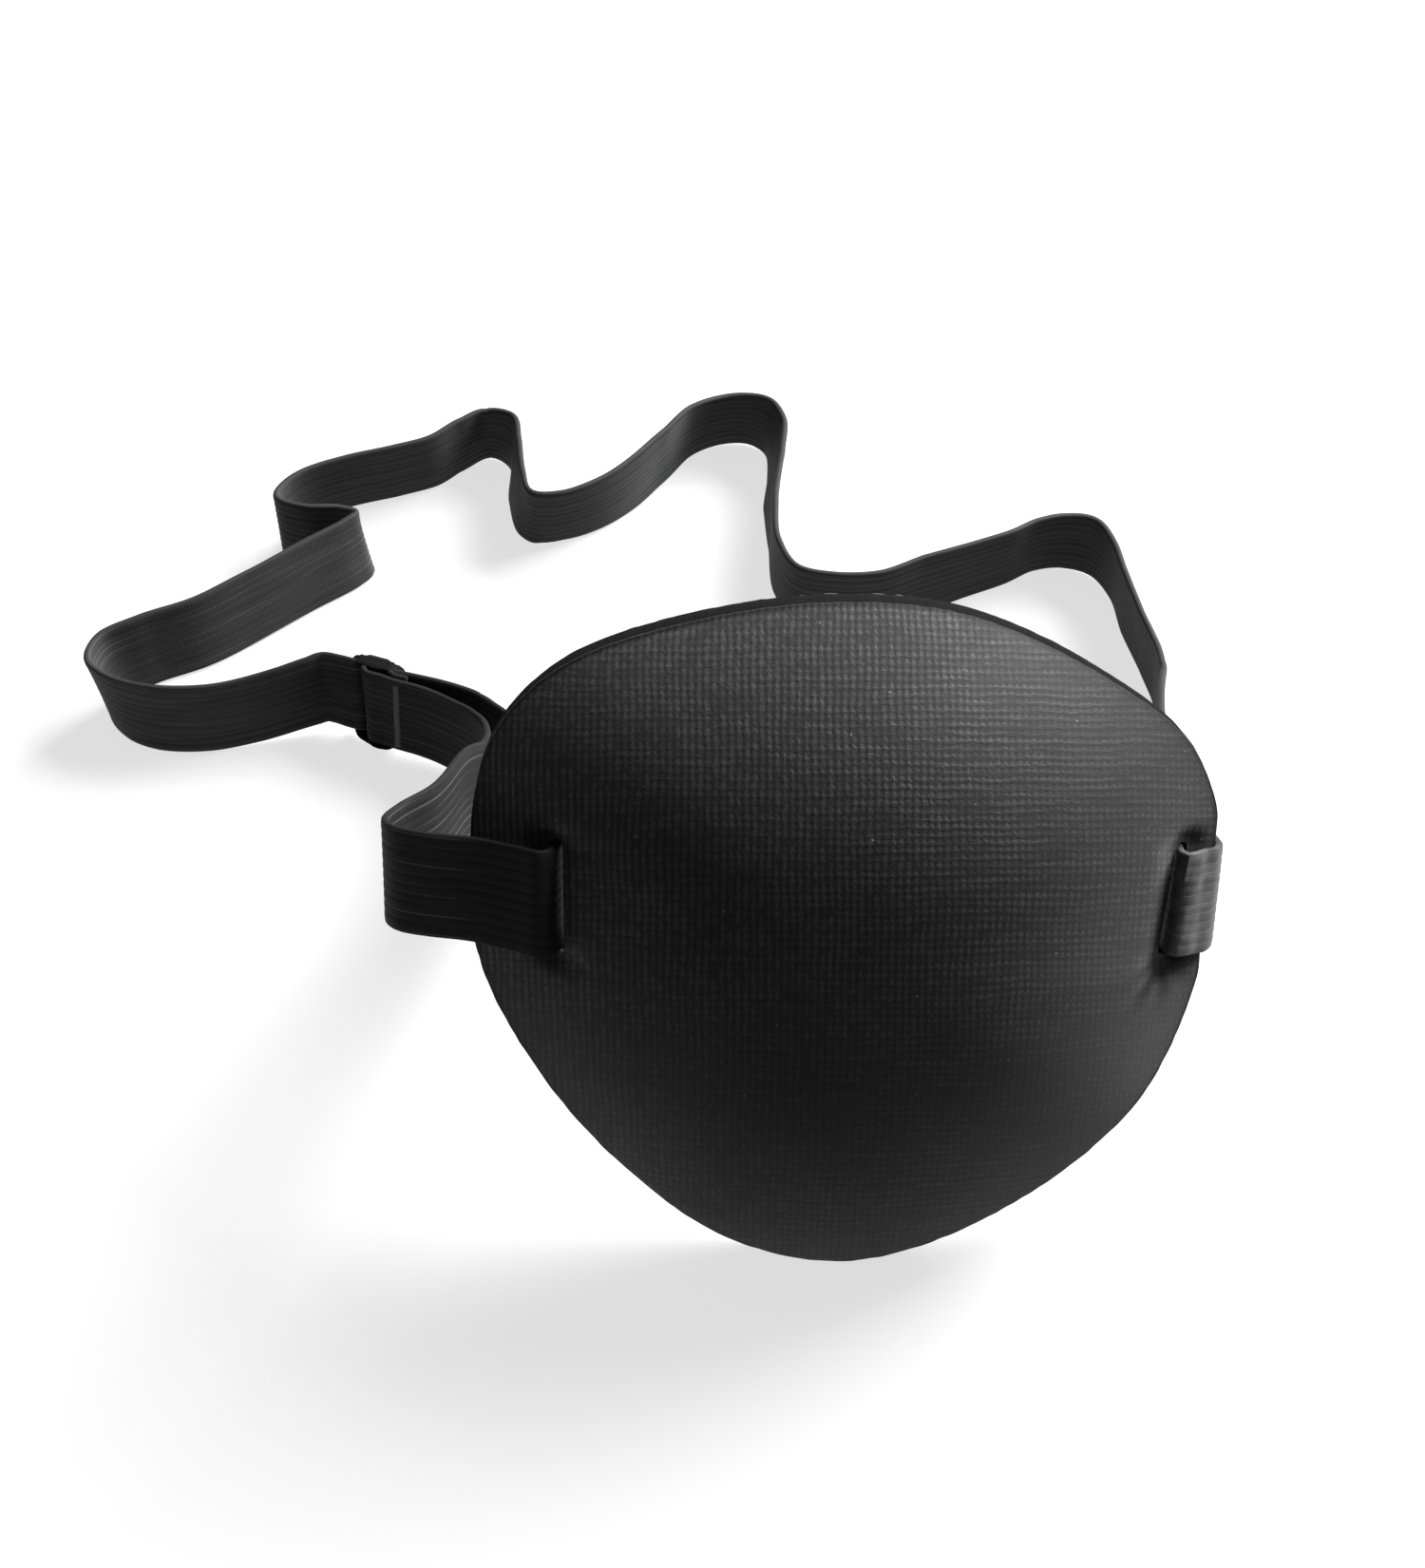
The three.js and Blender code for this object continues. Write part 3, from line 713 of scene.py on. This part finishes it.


def elastic_material():
    """Woven elastic: fine cross threads, shallow ribs, and a few painted highlight lines between them."""
    s = Shader(
        "ribbed_elastic", (0.011, 0.011, 0.0113), 0.72, 0.13, sheen=0.06, sheen_roughness=0.4, sheen_tint=0.8,
    )
    lay = s.node("ShaderNodeUVMap", uv_map="lay").outputs["UV"]
    where = s.node("ShaderNodeTexCoord").outputs["Object"]
    along, across, _ = s.split(lay)
    wobble = s.math("MULTIPLY_ADD", s.noise(where, 900, 2), 0.24, -0.12)
    pitch = (STRAP_WIDTH - 2 * SELVEDGE) / RIBS
    from_edge = s.math("ADD", across, (STRAP_WIDTH - 2 * SELVEDGE) / 2)
    rib = s.ridge(from_edge, pitch)
    weft = s.ridge(s.math("ADD", along, wobble), 0.42)
    ends = s.ridge(s.math("ADD", from_edge, s.math("MULTIPLY", wobble, 0.3)), pitch / 3)
    crown = s.math("SUBTRACT", 1.0, s.math("POWER", rib, 3.0))
    yarn = s.math("MULTIPLY_ADD", s.math("SUBTRACT", 1.0, weft), 0.6, s.math("MULTIPLY", ends, -0.4))
    height = s.math("MULTIPLY_ADD", crown, 0.5, s.math("MULTIPLY", yarn, 0.5))
    dust = s.remap(s.noise(where, 300, 3), 0.45, 0.75)
    # painted shade and light: grooves and low cross threads are painted darker than the rib crowns and raised yarn
    color = s.mix(crown, (0.0075, 0.0075, 0.0077), (0.013, 0.013, 0.0134))
    color = s.mix(s.math("MULTIPLY", s.remap(yarn, 0.1, 0.6), 0.25), color, (0.022, 0.022, 0.0226))
    streak = s.node("ShaderNodeCombineXYZ")
    for socket, value in zip(streak.inputs, (s.math("MULTIPLY", along, 0.05), across, 0.0)):
        s.put(socket, value)
    shine = s.remap(s.noise(streak.outputs[0], 1.1, 3, 0.75), 0.5, 0.72)   # painted highlight streaks, long, a rib or less wide
    showing = s.remap(rib, 0.72, 0.95)
    rib_line_highlight = s.math("MULTIPLY", showing, s.remap(s.noise(streak.outputs[0], 0.8, 1), 0.42, 0.62))
    color = s.mix(s.math("MULTIPLY", shine, 0.5), color, (0.032, 0.032, 0.0327))
    # painted highlight: light lines between the ribs
    color = s.mix(s.math("MULTIPLY", rib_line_highlight, 0.42), color, (0.07, 0.07, 0.0715))
    color = s.mix(s.math("MULTIPLY", dust, 0.2), color, (0.02, 0.02, 0.0205))
    edge = s.remap(s.math("ABSOLUTE", across), STRAP_WIDTH / 2 - 0.3, STRAP_WIDTH / 2 - 0.05, 0.0, 0.4)
    color = s.mix(edge, color, (0.003, 0.003, 0.0031))     # painted shade: both edges are painted darker, and below they lose sheen and gloss, where the lamp would light the top edge
    painted_shade_stretch = s.remap(along, *PAINTED_SHADE_FROM, 0.0, 0.7)           # painted shade: from here along the strap on, the elastic is painted a deeper black, and its sheen and gloss are lowered below
    color = s.mix(painted_shade_stretch, color, (0.003, 0.003, 0.0031))
    open_face = s.math("SUBTRACT", 1.0, edge)
    for socket, most in (("Sheen Weight", 0.06), ("Specular IOR Level", 0.13)):
        amount = s.math("MULTIPLY_ADD", painted_shade_stretch, -0.07, most)
        s.put(s.bsdf.inputs[socket], s.math("MULTIPLY", amount, open_face))
    wrap_painted_light = s.math("MULTIPLY", s.remap(along, 26, 34, 0.5, 0.0), s.remap(s.noise(where, 500, 3), 0.35, 0.65))
    color = s.mix(wrap_painted_light, color, (0.045, 0.045, 0.0457))   # painted light: paler in patches where it wraps over the right rim, on the side the lamp lights
    # painted shade: near the left slot the strap is painted near black, and the painted highlight lines are left off
    # there
    inward = s.remap(s.split(where)[0], -0.043, -0.037)
    slot_painted_shade = s.math("MULTIPLY", inward, s.remap(along, 405, 415))
    # painted highlight: light lines along the painted shade stretch, away from the slot
    lines = s.math("MULTIPLY", s.math("MULTIPLY", rib_line_highlight, painted_shade_stretch), s.math("SUBTRACT", 1.0, slot_painted_shade))
    color = s.mix(s.math("MULTIPLY", lines, 0.6), color, (0.06, 0.06, 0.061))
    color = s.mix(s.math("MULTIPLY", slot_painted_shade, 0.7), color, (0.0015, 0.0015, 0.0015))
    return s.finish(color, s.remap(crown, 0.0, 1.0, 0.85, 0.68), s.bump(height, 0.05 * MM, 0.8))


def plastic_material():
    s = Shader("satin_plastic", (0.0025, 0.0025, 0.0026), 0.8, 0.03)
    where = s.node("ShaderNodeTexCoord").outputs["Object"]
    grain = s.noise(where, 3800, 2)
    scuff = s.remap(s.noise(where, 600, 4, 0.7), 0.52, 0.75)
    color = s.mix(s.math("MULTIPLY", scuff, 0.5), (0.0015, 0.0015, 0.0016), (0.004, 0.004, 0.0041))
    return s.finish(color, s.remap(scuff, 0.0, 1.0, 0.75, 0.88), s.bump(grain, 0.03 * MM, 0.5))


def thread_material():
    s = Shader("sewing_thread", (0.02, 0.02, 0.021), 0.5, 0.35, sheen=0.3)
    where = s.node("ShaderNodeTexCoord").outputs["Object"]
    twist = s.node("ShaderNodeTexWave", wave_type="BANDS", bands_direction="DIAGONAL")
    s.put(twist.inputs["Vector"], where)
    twist.inputs["Scale"].default_value = 1400
    color = s.mix(twist.outputs["Fac"], (0.012, 0.012, 0.0125), (0.06, 0.06, 0.0612))
    return s.finish(color, None, s.bump(twist.outputs["Fac"], 0.05 * MM, 0.7))


def dress(thing, material, slot, body=None):
    thing.data.materials.clear()
    thing.data.materials.append(material)
    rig.slot(thing, slot)
    if body:
        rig.ride(thing, body)
    return thing


KNIT, FOAM, LINING = knit_material(), foam_material(), lining_material()
ELASTIC, PLASTIC, THREAD = elastic_material(), plastic_material(), thread_material()

# ---- strap pieces -------------------------------------------------------------------------------------
BAR_FRONT = -0.55                        # the middle bar stands this far in front of the strap's line
BAR_BACK = 1.25                          # and the two outer ones this far behind it
MIDDLE_BAR = 1.1
OUTER_BAR = 1.3
BAR_SHIFT = 0.3                          # the middle bar is a little nearer the patch
DIP = 1.45                               # how far the strap dips behind the middle bar
FOLD_RADIUS = MIDDLE_BAR / 2 + STRAP_THICK / 2 + 0.05
HALF_WEAVE = ADJUSTER_LENGTH / 2 + 0.4
SEWN_REACH = 4.9                         # from here to the middle bar the sewn end moves with the adjuster


def line_route(x_values, y_of, lean=THREAD_LEAN):
    return [[*on_adjuster(x, y_of(x)), lean] for x in x_values]


def dip(x):
    """The strap's line through the adjuster: behind the middle bar, in front of the outer two."""
    return DIP * (1 - smoothstep(abs(x - BAR_SHIFT), 1.0, 3.0))


def fold_route():
    """The strap's sewn end: off the loop's return, in front, round the middle bar, then a tail."""
    leg = [(9.4, -2.3), (7, -2.0), (4.5, -1.95), (3.2, -1.88), (1.9, -1.66)]
    turn = [(BAR_SHIFT - FOLD_RADIUS * math.sin(a), BAR_FRONT - FOLD_RADIUS * math.cos(a))
            for a in np.linspace(0, math.pi, 7)]
    tail = [(1.1, 0.42), (1.8, 0.1), (2.6, -0.6), (3.4, -0.98), (4.2, -1.0), (5, -1.0)]
    return [[*on_adjuster(x, y), THREAD_LEAN] for x, y in leg + turn + tail]


def make_straps():
    """One elastic strap from its tail behind the patch to its sewn end, in the stretches that move apart."""
    weave = line_route(np.linspace(-HALF_WEAVE, HALF_WEAVE, 19), dip)
    lists = [RIGHT_END + RUN, weave[:1], weave[1:], LEFT_END[:1], LEFT_END[1:], RETURN_END + fold_route()]
    names = ["strap_main", "strap_before_adjuster", "strap_in_adjuster", "strap_after_adjuster", "strap_left",
             "strap_sewn_end"]
    steps = [0.5, 0.4, 0.2, 0.4, 0.4, 0.3]
    cuts = [0] + [int(n) - 1 for n in np.cumsum([len(part) for part in lists])]
    route = [point for part in lists for point in part]
    pieces, lines = {}, {}
    for name, (centres, tangents, tops, at) in zip(names, along_route(route, cuts, steps)):
        pieces[name] = dress(strap_mesh(name, centres, tangents, tops, at), ELASTIC, "elastic")
        lines[name] = centres
    return pieces, lines


def attach_straps(pieces, lines):
    """Each stretch rides on its body, and those that join two bodies stretch between them."""
    for name, body in (("strap_main", "patch"), ("strap_left", "patch"), ("strap_in_adjuster", "adjuster")):
        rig.ride(pieces[name], body)
    for name, fixed, carried in (
        ("strap_before_adjuster", lines["strap_before_adjuster"][1], on_adjuster(-HALF_WEAVE, 0)),
        ("strap_after_adjuster", LEFT_END[0][:3], on_adjuster(HALF_WEAVE, 0)),
        ("strap_sewn_end", lines["strap_sewn_end"][0], on_adjuster(BAR_SHIFT + SEWN_REACH, 0)),
    ):
        start, end = Vector(to_frame(fixed)), Vector(to_frame(carried))
        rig.blend(pieces[name], "patch", "adjuster", start=start, end=end)
    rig.replaces(pieces["strap_main"], "strap_right_end", "strap_run")
    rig.replaces(pieces["strap_in_adjuster"], "strap_at_adjuster")
    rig.replaces(pieces["strap_left"], "strap_left_end")
    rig.replaces(pieces["strap_sewn_end"], "strap_sewn_fold")


# ---- the adjuster -------------------------------------------------------------------------------------
TOP_SHORT = 1.0                          # the frame sits low on the strap, so its top rail hardly shows
RAIL_DEPTH = (-0.7, 1.2)
FOOT_KICK = 0.8                          # its lower end turns out towards the front


def adjuster_ring(half_x, half_z, corner):
    """The frame's centre line: a rounded rectangle, as across and up."""
    ring = []
    for cx, cz, start in ((1, 1, 0), (-1, 1, 90), (-1, -1, 180), (1, -1, 270)):
        for a in np.radians(np.linspace(start, start + 90, 8)):
            x = cx * (half_x - corner) + corner * math.cos(a)
            z = cz * (half_z - corner) + corner * math.sin(a)
            ring.append((x, z, 0))
    return curve_through(ring, 3, closed=True)[0]


def top_rail(half_z):
    """The flat rail that closes the frame over the strap's upper edge."""
    x = ADJUSTER_LENGTH / 2 - 1.5
    front, back = RAIL_DEPTH
    corners = np.array([[-x, front], [x, front], [x, back], [-x, back]])
    rings = [np.column_stack([corners, np.full(4, half_z + dz)]) for dz in (0.1, 0.5)]
    return np.vstack(rings), ring_faces(2, 4)


def make_adjuster():
    """A moulded frame with three bars: a rounded ring and a waisted bar across its middle."""
    half_x = (ADJUSTER_LENGTH - OUTER_BAR) / 2
    half_z = (ADJUSTER_HEIGHT - TOP_SHORT) / 2 - 0.55
    x, z, _ = adjuster_ring(half_x, half_z, 1.5).T
    to_front = (BAR_BACK - BAR_FRONT * 0.6) * (1 - (x / (half_x + 0.3)) ** 2)
    bow = BAR_BACK - to_front * smoothstep(np.abs(z), half_z - 1.2, half_z)
    centre = np.stack([x, bow, z], 1)
    tangent = unit(np.roll(centre, -1, 0) - np.roll(centre, 1, 0))
    side = unit(np.cross(tangent, np.array([0.0, 1.0, 0.0])))
    over = np.cross(side, tangent)
    turn = np.linspace(0, 2 * math.pi, 16, endpoint=False)
    box_x, box_y = (np.sign(c) * np.abs(c) ** 0.75 for c in (np.cos(turn), np.sin(turn)))
    thick = OUTER_BAR / 2
    tall = np.where(np.abs(z) > half_z - 0.6, 1.25, 1.0)
    through = (box_y[None] * tall[:, None])[..., None] * over[:, None]
    section = thick * (box_x[None, :, None] * side[:, None] + through)
    frame_points = (centre[:, None] + section * 0.88).reshape(-1, 3)
    rod_z = np.linspace(-half_z - 0.1, half_z, 33)
    end = smoothstep(np.abs(rod_z), half_z - 1.4, half_z)
    waist = MIDDLE_BAR / 2 * (1 + 0.45 * end)
    rod_y = BAR_FRONT + 0.3 * smoothstep(rod_z, half_z - 1.2, half_z)
    rod = np.stack([
        BAR_SHIFT + waist[:, None] * 1.15 * box_x[None], rod_y[:, None] + waist[:, None] * box_y[None],
        np.repeat(rod_z[:, None], 16, 1),
    ], -1).reshape(-1, 3)
    frame_faces = ring_faces(len(centre), 16, closed=True)
    parts = [(frame_points, frame_faces), (rod, ring_faces(33, 16)), top_rail(half_z)]
    points, faces = join_parts(parts)
    foot = smoothstep(-points[:, 2], half_z - 1.6, half_z + 0.4)
    points[:, 1] -= FOOT_KICK * foot * (1 + 0.5 * np.tanh(points[:, 0] - BAR_SHIFT))
    world = on_adjuster(points[:, 0], points[:, 1], points[:, 2] - TOP_SHORT / 2)
    thing = make_mesh("adjuster_frame", world, faces, sharp=50)
    remesh = thing.modifiers.new("moulded", "REMESH")
    remesh.mode = "VOXEL"
    remesh.voxel_size = 0.14 * MM
    remesh.use_smooth_shade = True
    soften = thing.modifiers.new("soften", "SMOOTH")
    soften.iterations = 4
    apply_modifiers(thing)
    dress(thing, PLASTIC, "plastic", "adjuster")
    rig.replaces(thing, "adjuster")
    return thing


def apply_modifiers(thing):
    evaluated = thing.evaluated_get(bpy.context.evaluated_depsgraph_get())
    mesh = bpy.data.meshes.new_from_object(evaluated)
    thing.modifiers.clear()
    thing.data = mesh


# ---- stitching ----------------------------------------------------------------------------------------
THREAD_RADIUS = 0.13


def zigzag(place, height, width, rows, lift):
    """A bar tack on a surface: place(a, b, lift) gives points, a across the tack and b up it."""
    count = rows * 2
    b = np.linspace(-height / 2, height / 2, count)
    a = np.where(np.arange(count) % 2 == 0, -width / 2, width / 2)
    fine = np.linspace(0, count - 1, count * 6)
    a_fine, b_fine = np.interp(fine, np.arange(count), a), np.interp(fine, np.arange(count), b)
    lift_fine = lift + 0.05 - 0.16 * (np.abs(a_fine) / (width / 2)) ** 6
    return tube(place(a_fine, b_fine, lift_fine), THREAD_RADIUS)


TACK_AT = 4.0                            # beside the middle bar, towards the patch


def make_fold_tack():
    front = BAR_FRONT - FOLD_RADIUS - STRAP_THICK / 2

    def place(a, b, lift):
        return on_adjuster(TACK_AT + a, front - lift - 0.13, b)

    points, faces = zigzag(place, 10.4, 0.9, 26, 0.05)
    thing = make_mesh("bartack_thread_adjuster", points, faces, sharp=80)
    dress(thing, THREAD, "thread", "adjuster")
    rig.replaces(thing, "bartack_adjuster")
    return thing


RIGHT_TACK_AT = (37.6, 43.5, -19.5)
RIGHT_TACK_TILT = 6


def make_right_tack():
    heading = unit(on_patch(0, 0, -1) - on_patch(0, 0, 0))
    top = unit(on_patch(math.sin(math.radians(RIGHT_TACK_TILT)), 1, 0) - on_patch(0, 0, 0))
    across = unit(np.cross(top, heading))
    centre = on_patch(*RIGHT_TACK_AT)
    parts = []
    for side in (-1, 1):
        def place(a, b, lift):
            a, b, lift = (np.asarray(x)[..., None] for x in (a, b, np.full(np.shape(a), 1.0) * lift))
            return centre + a * heading + b * top + side * (0.9 + lift) * across

        parts.append(zigzag(place, 10.4, 1.4, 26, 0.5))
    points, faces = join_parts(parts)
    thing = make_mesh("bartack_thread_right", points, faces, sharp=80)
    dress(thing, THREAD, "thread", "patch")
    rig.replaces(thing, "bartack_right")
    return thing


# ---- the patch ----------------------------------------------------------------------------------------
rim_line, _ = curve_through(np.column_stack([np.array(RIM, float), np.zeros(len(RIM))]), 48, closed=True)
rim_arm = rim_line[:, :2] - DOME_CENTRE
rim_angle = np.arctan2(rim_arm[:, 1], rim_arm[:, 0])
rim_order = np.argsort(rim_angle)
rim_angle, rim_reach = rim_angle[rim_order], np.linalg.norm(rim_arm, axis=1)[rim_order]


def rim_radius(angle):
    nip = NIP_DEPTH * np.exp(-((angle - NIP_ANGLE) / NIP_HALF) ** 4)
    return np.interp(angle, rim_angle, rim_reach, period=2 * math.pi) - nip


def face_w(share, angle):
    u = DOME_CENTRE[0] + share * rim_radius(angle) * np.cos(angle)
    ease = 1 + 0.2 * np.abs(np.cos(angle)) ** 6
    return DOME_HEIGHT * np.clip(1 - share**2.4, 0, 1) ** ease - WING_DROP * (u / WING_REACH) ** 2


def slot_offset(u, v, slot):
    """Distance outside a slot's rounded outline (negative inside), and the outward direction."""
    (su, sv), tilt = slot
    du, dv = u - su, v - sv
    c, s = math.cos(-tilt), math.sin(-tilt)
    a, b = du * c - dv * s, du * s + dv * c
    radius = SLOT_WIDTH / 2
    straight = SLOT_HEIGHT / 2 - radius
    nearest = np.clip(b, -straight, straight)
    da, db = a, b - nearest
    reach = np.hypot(da, db)
    safe = np.maximum(reach, 1e-6)
    na, nb = da / safe, db / safe
    return reach - radius, na * c + nb * s, -na * s + nb * c, b


def relief(u, v):
    """Where the cloth is drawn down round the slots and puckers below the right one."""
    drop = np.zeros_like(u)
    for slot, depth in zip(SLOTS, (0.7, 0.9)):
        away, _, _, b = slot_offset(u, v, slot)
        drop += depth * np.exp(-(np.maximum(away, 0) / 1.5) ** 2)
        past_end = np.exp(-((np.abs(b) - SLOT_HEIGHT / 2 - 0.6) / 1.6) ** 2)
        drop += 0.7 * past_end * np.exp(-(np.maximum(away, 0) / 2.2) ** 2)
    (su, sv), _ = SLOTS[1]
    pu, pv = u - (su - 1.2), v - (sv - SLOT_HEIGHT / 2 - 0.5)
    spread, turn = np.hypot(pu, pv), np.arctan2(pv, pu)
    fan = np.exp(-((spread - 2.2) / 2.4) ** 2) * (pv < 0.5)
    drop += 0.14 * fan * np.sin(turn * 7)
    return -drop


def face_surface(share, angle):
    radius = share * rim_radius(angle)
    u, v = DOME_CENTRE[0] + radius * np.cos(angle), DOME_CENTRE[1] + radius * np.sin(angle)
    return u, v, face_w(share, angle) + relief(u, v)


SEGMENTS = 540
RINGS = 78


def patch_sheet(segments, rings):
    """Shares, angles and faces of a polar sheet with the two slots cut out and their outlines snapped."""
    angle = np.linspace(-math.pi, math.pi, segments, endpoint=False)
    share = np.linspace(0, 1, rings + 1)[1:] ** 0.9
    s, a = np.meshgrid(share, angle, indexing="ij")
    s, a = np.concatenate([[1e-4], s.ravel()]), np.concatenate([[0], a.ravel()])
    faces = [(0, 1 + j, 1 + (j + 1) % segments) for j in range(segments)]
    for i in range(rings - 1):
        p, q = 1 + i * segments, 1 + (i + 1) * segments
        faces += [(p + j, q + j, q + (j + 1) % segments, p + (j + 1) % segments) for j in range(segments)]
    quads = np.array([f if len(f) == 4 else (*f, f[2]) for f in faces])
    radius = s * rim_radius(a)
    u, v = DOME_CENTRE[0] + radius * np.cos(a), DOME_CENTRE[1] + radius * np.sin(a)
    keep = np.ones(len(faces), bool)
    for slot in SLOTS:
        away, *_ = slot_offset(u[quads].mean(1), v[quads].mean(1), slot)
        keep &= away > 0
    quads = quads[keep]
    edge = boundary_edges(quads)
    for slot in SLOTS:
        away, du, dv, _ = slot_offset(u, v, slot)
        lip = np.zeros(len(u), bool)
        lip[edge.ravel()] = True
        lip &= np.abs(away) < 1.2
        u = np.where(lip, u - away * du, u)
        v = np.where(lip, v - away * dv, v)
    radius = np.hypot(u - DOME_CENTRE[0], v - DOME_CENTRE[1])
    a = np.arctan2(v - DOME_CENTRE[1], u - DOME_CENTRE[0])
    s = np.minimum(radius / rim_radius(a), 1)
    used = np.unique(quads)
    index = np.full(len(u), -1)
    index[used] = np.arange(len(used))
    return s[used], a[used], index[quads]


def boundary_edges(quads):
    """Directed edges that belong to one face only."""
    pairs = np.vstack([np.stack([quads[:, i], quads[:, (i + 1) % 4]], 1) for i in range(4)])
    pairs = pairs[pairs[:, 0] != pairs[:, 1]]
    size = int(quads.max()) + 1
    code, back = pairs[:, 0] * size + pairs[:, 1], pairs[:, 1] * size + pairs[:, 0]
    return pairs[~np.isin(code, back)]


def layer_shell(name, sheet, depth, inset, ragged, bulge):
    """One layer of the lamination, closed, between two depths below the face."""
    share, angle, quads = sheet
    step = 0.004
    u, v, w = face_surface(share, angle)
    at_rim = share > 0.9995
    wave = smooth_noise(720, 0.36, 1.1)
    round_rim = np.linspace(-math.pi, math.pi, 720)
    closing = smoothstep(np.abs(round_rim), math.pi, math.pi - 0.05)
    wave = np.interp(angle, round_rim, wave * closing)
    cut = np.where(at_rim, inset + ragged * wave, 0)
    u, v = u - cut * np.cos(angle), v - cut * np.sin(angle)
    flat = np.stack([u, v, w], 1)
    slope_u = (surface_at(u + step, v) - surface_at(u - step, v)) / (2 * step)
    slope_v = (surface_at(u, v + step) - surface_at(u, v - step)) / (2 * step)
    normal = unit(np.stack([-slope_u, -slope_v, np.ones_like(u)], 1))
    square = np.stack([np.zeros_like(u), np.zeros_like(u), np.minimum(1 / normal[:, 2], 1.6)], 1)
    blend = smoothstep(share, 0.8, 1)[:, None]
    inward = normal * (1 - blend) + square * blend
    top, bottom = flat - depth[0] * inward, flat - depth[1] * inward
    edge = boundary_edges(quads)
    count = len(top)
    order = np.unique(edge)
    lookup = np.full(count, -1)
    lookup[order] = np.arange(len(order))
    out = np.zeros((count, 2))
    for p in (0, 1):
        run = flat[edge[:, 1], :2] - flat[edge[:, 0], :2]
        np.add.at(out, edge[:, p], np.stack([run[:, 1], -run[:, 0]], 1))
    out = np.column_stack([unit(out[order] + 1e-12), np.zeros(len(order))])
    levels = (0.18, 0.5, 0.82)
    walls = [top[order] * (1 - t) + bottom[order] * t + out * bulge * math.sin(math.pi * t) for t in levels]
    points = np.vstack([top, bottom, *walls])
    starts = [2 * count + i * len(order) for i in range(len(levels))]
    faces = [tuple(dict.fromkeys(f)) for f in quads.tolist()]
    faces += [tuple(reversed([i + count for i in f])) for f in faces]
    for a, b in edge.tolist():
        la, lb = lookup[a], lookup[b]
        column_a = [a] + [s + la for s in starts] + [a + count]
        column_b = [b] + [s + lb for s in starts] + [b + count]
        faces += [
            (column_b[i], column_a[i], column_a[i + 1], column_b[i + 1]) for i in range(len(column_a) - 1)
        ]
    world = on_patch(points[:, 0], points[:, 1], points[:, 2])
    shares = np.concatenate([share, share, *[share[order]] * len(levels)])
    return make_mesh(name, world, faces, uv=np.column_stack([shares, np.zeros(len(points))]), sharp=48)


def surface_at(u, v):
    radius = np.hypot(u - DOME_CENTRE[0], v - DOME_CENTRE[1])
    angle = np.arctan2(v - DOME_CENTRE[1], u - DOME_CENTRE[0])
    share = np.clip(radius / rim_radius(angle), 1e-4, 1)
    return face_w(share, angle) + relief(u, v)


FACE_DEPTH = (0.0, 0.55)
FOAM_DEPTH = (0.55, 2.85)
LINING_DEPTH = (2.85, 3.2)
FLAT_SIZE = (0.098, 0.094)
FLAT_AREA = 0.0066


def make_patch():
    fine = patch_sheet(SEGMENTS, RINGS)
    coarse = patch_sheet(360, 60)
    face = layer_shell("face_cloth", fine, FACE_DEPTH, 0.05, 0.05, 0.06)
    foam = layer_shell("foam_body", coarse, FOAM_DEPTH, 0.07, 0.04, 0.1)
    lining = layer_shell("lining_cloth", fine, LINING_DEPTH, 0.25, 0.12, 0.05)
    dress(face, KNIT, "knit", "patch")
    dress(foam, FOAM, "foam", "patch")
    dress(lining, LINING, "lining", "patch")
    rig.replaces(face, "face_fabric")
    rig.replaces(foam, "foam_core")
    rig.replaces(lining, "lining_fabric")
    return face, foam, lining


# ---- assembly -----------------------------------------------------------------------------------------
straps, strap_lines = make_straps()
attach_straps(straps, strap_lines)
adjuster = make_adjuster()
fold_tack = make_fold_tack()
right_tack = make_right_tack()
face, foam, lining = make_patch()


def declare_strap(name, pieces):
    """A free band: its length is that of its centre line, its diameter its width."""
    line = to_frame(strap_lines[name])
    length = float(np.linalg.norm(np.diff(line, axis=0), axis=1).sum())
    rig.cord(
        straps[name], exit=line[0].tolist(), length=length, diameter=STRAP_WIDTH * MM, far_end="fitting",
        stiffness="limp", lay="loose", path=line[::2].tolist(), with_pieces=pieces,
    )


declare_strap("strap_main", [
    straps["strap_before_adjuster"], straps["strap_in_adjuster"], adjuster, right_tack,
])
declare_strap("strap_left", [straps["strap_after_adjuster"], straps["strap_sewn_end"], fold_tack])
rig.padded(foam, fill=0.9)
for cloth in (face, lining):
    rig.sheet(cloth, flat=FLAT_SIZE, area=FLAT_AREA, held="stretched", rests_on=[foam])

with open("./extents.json", "w") as file:
    json.dump({"cad": [list(p) for p in cad_size], "visual": [list(p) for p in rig.bounds()]}, file)
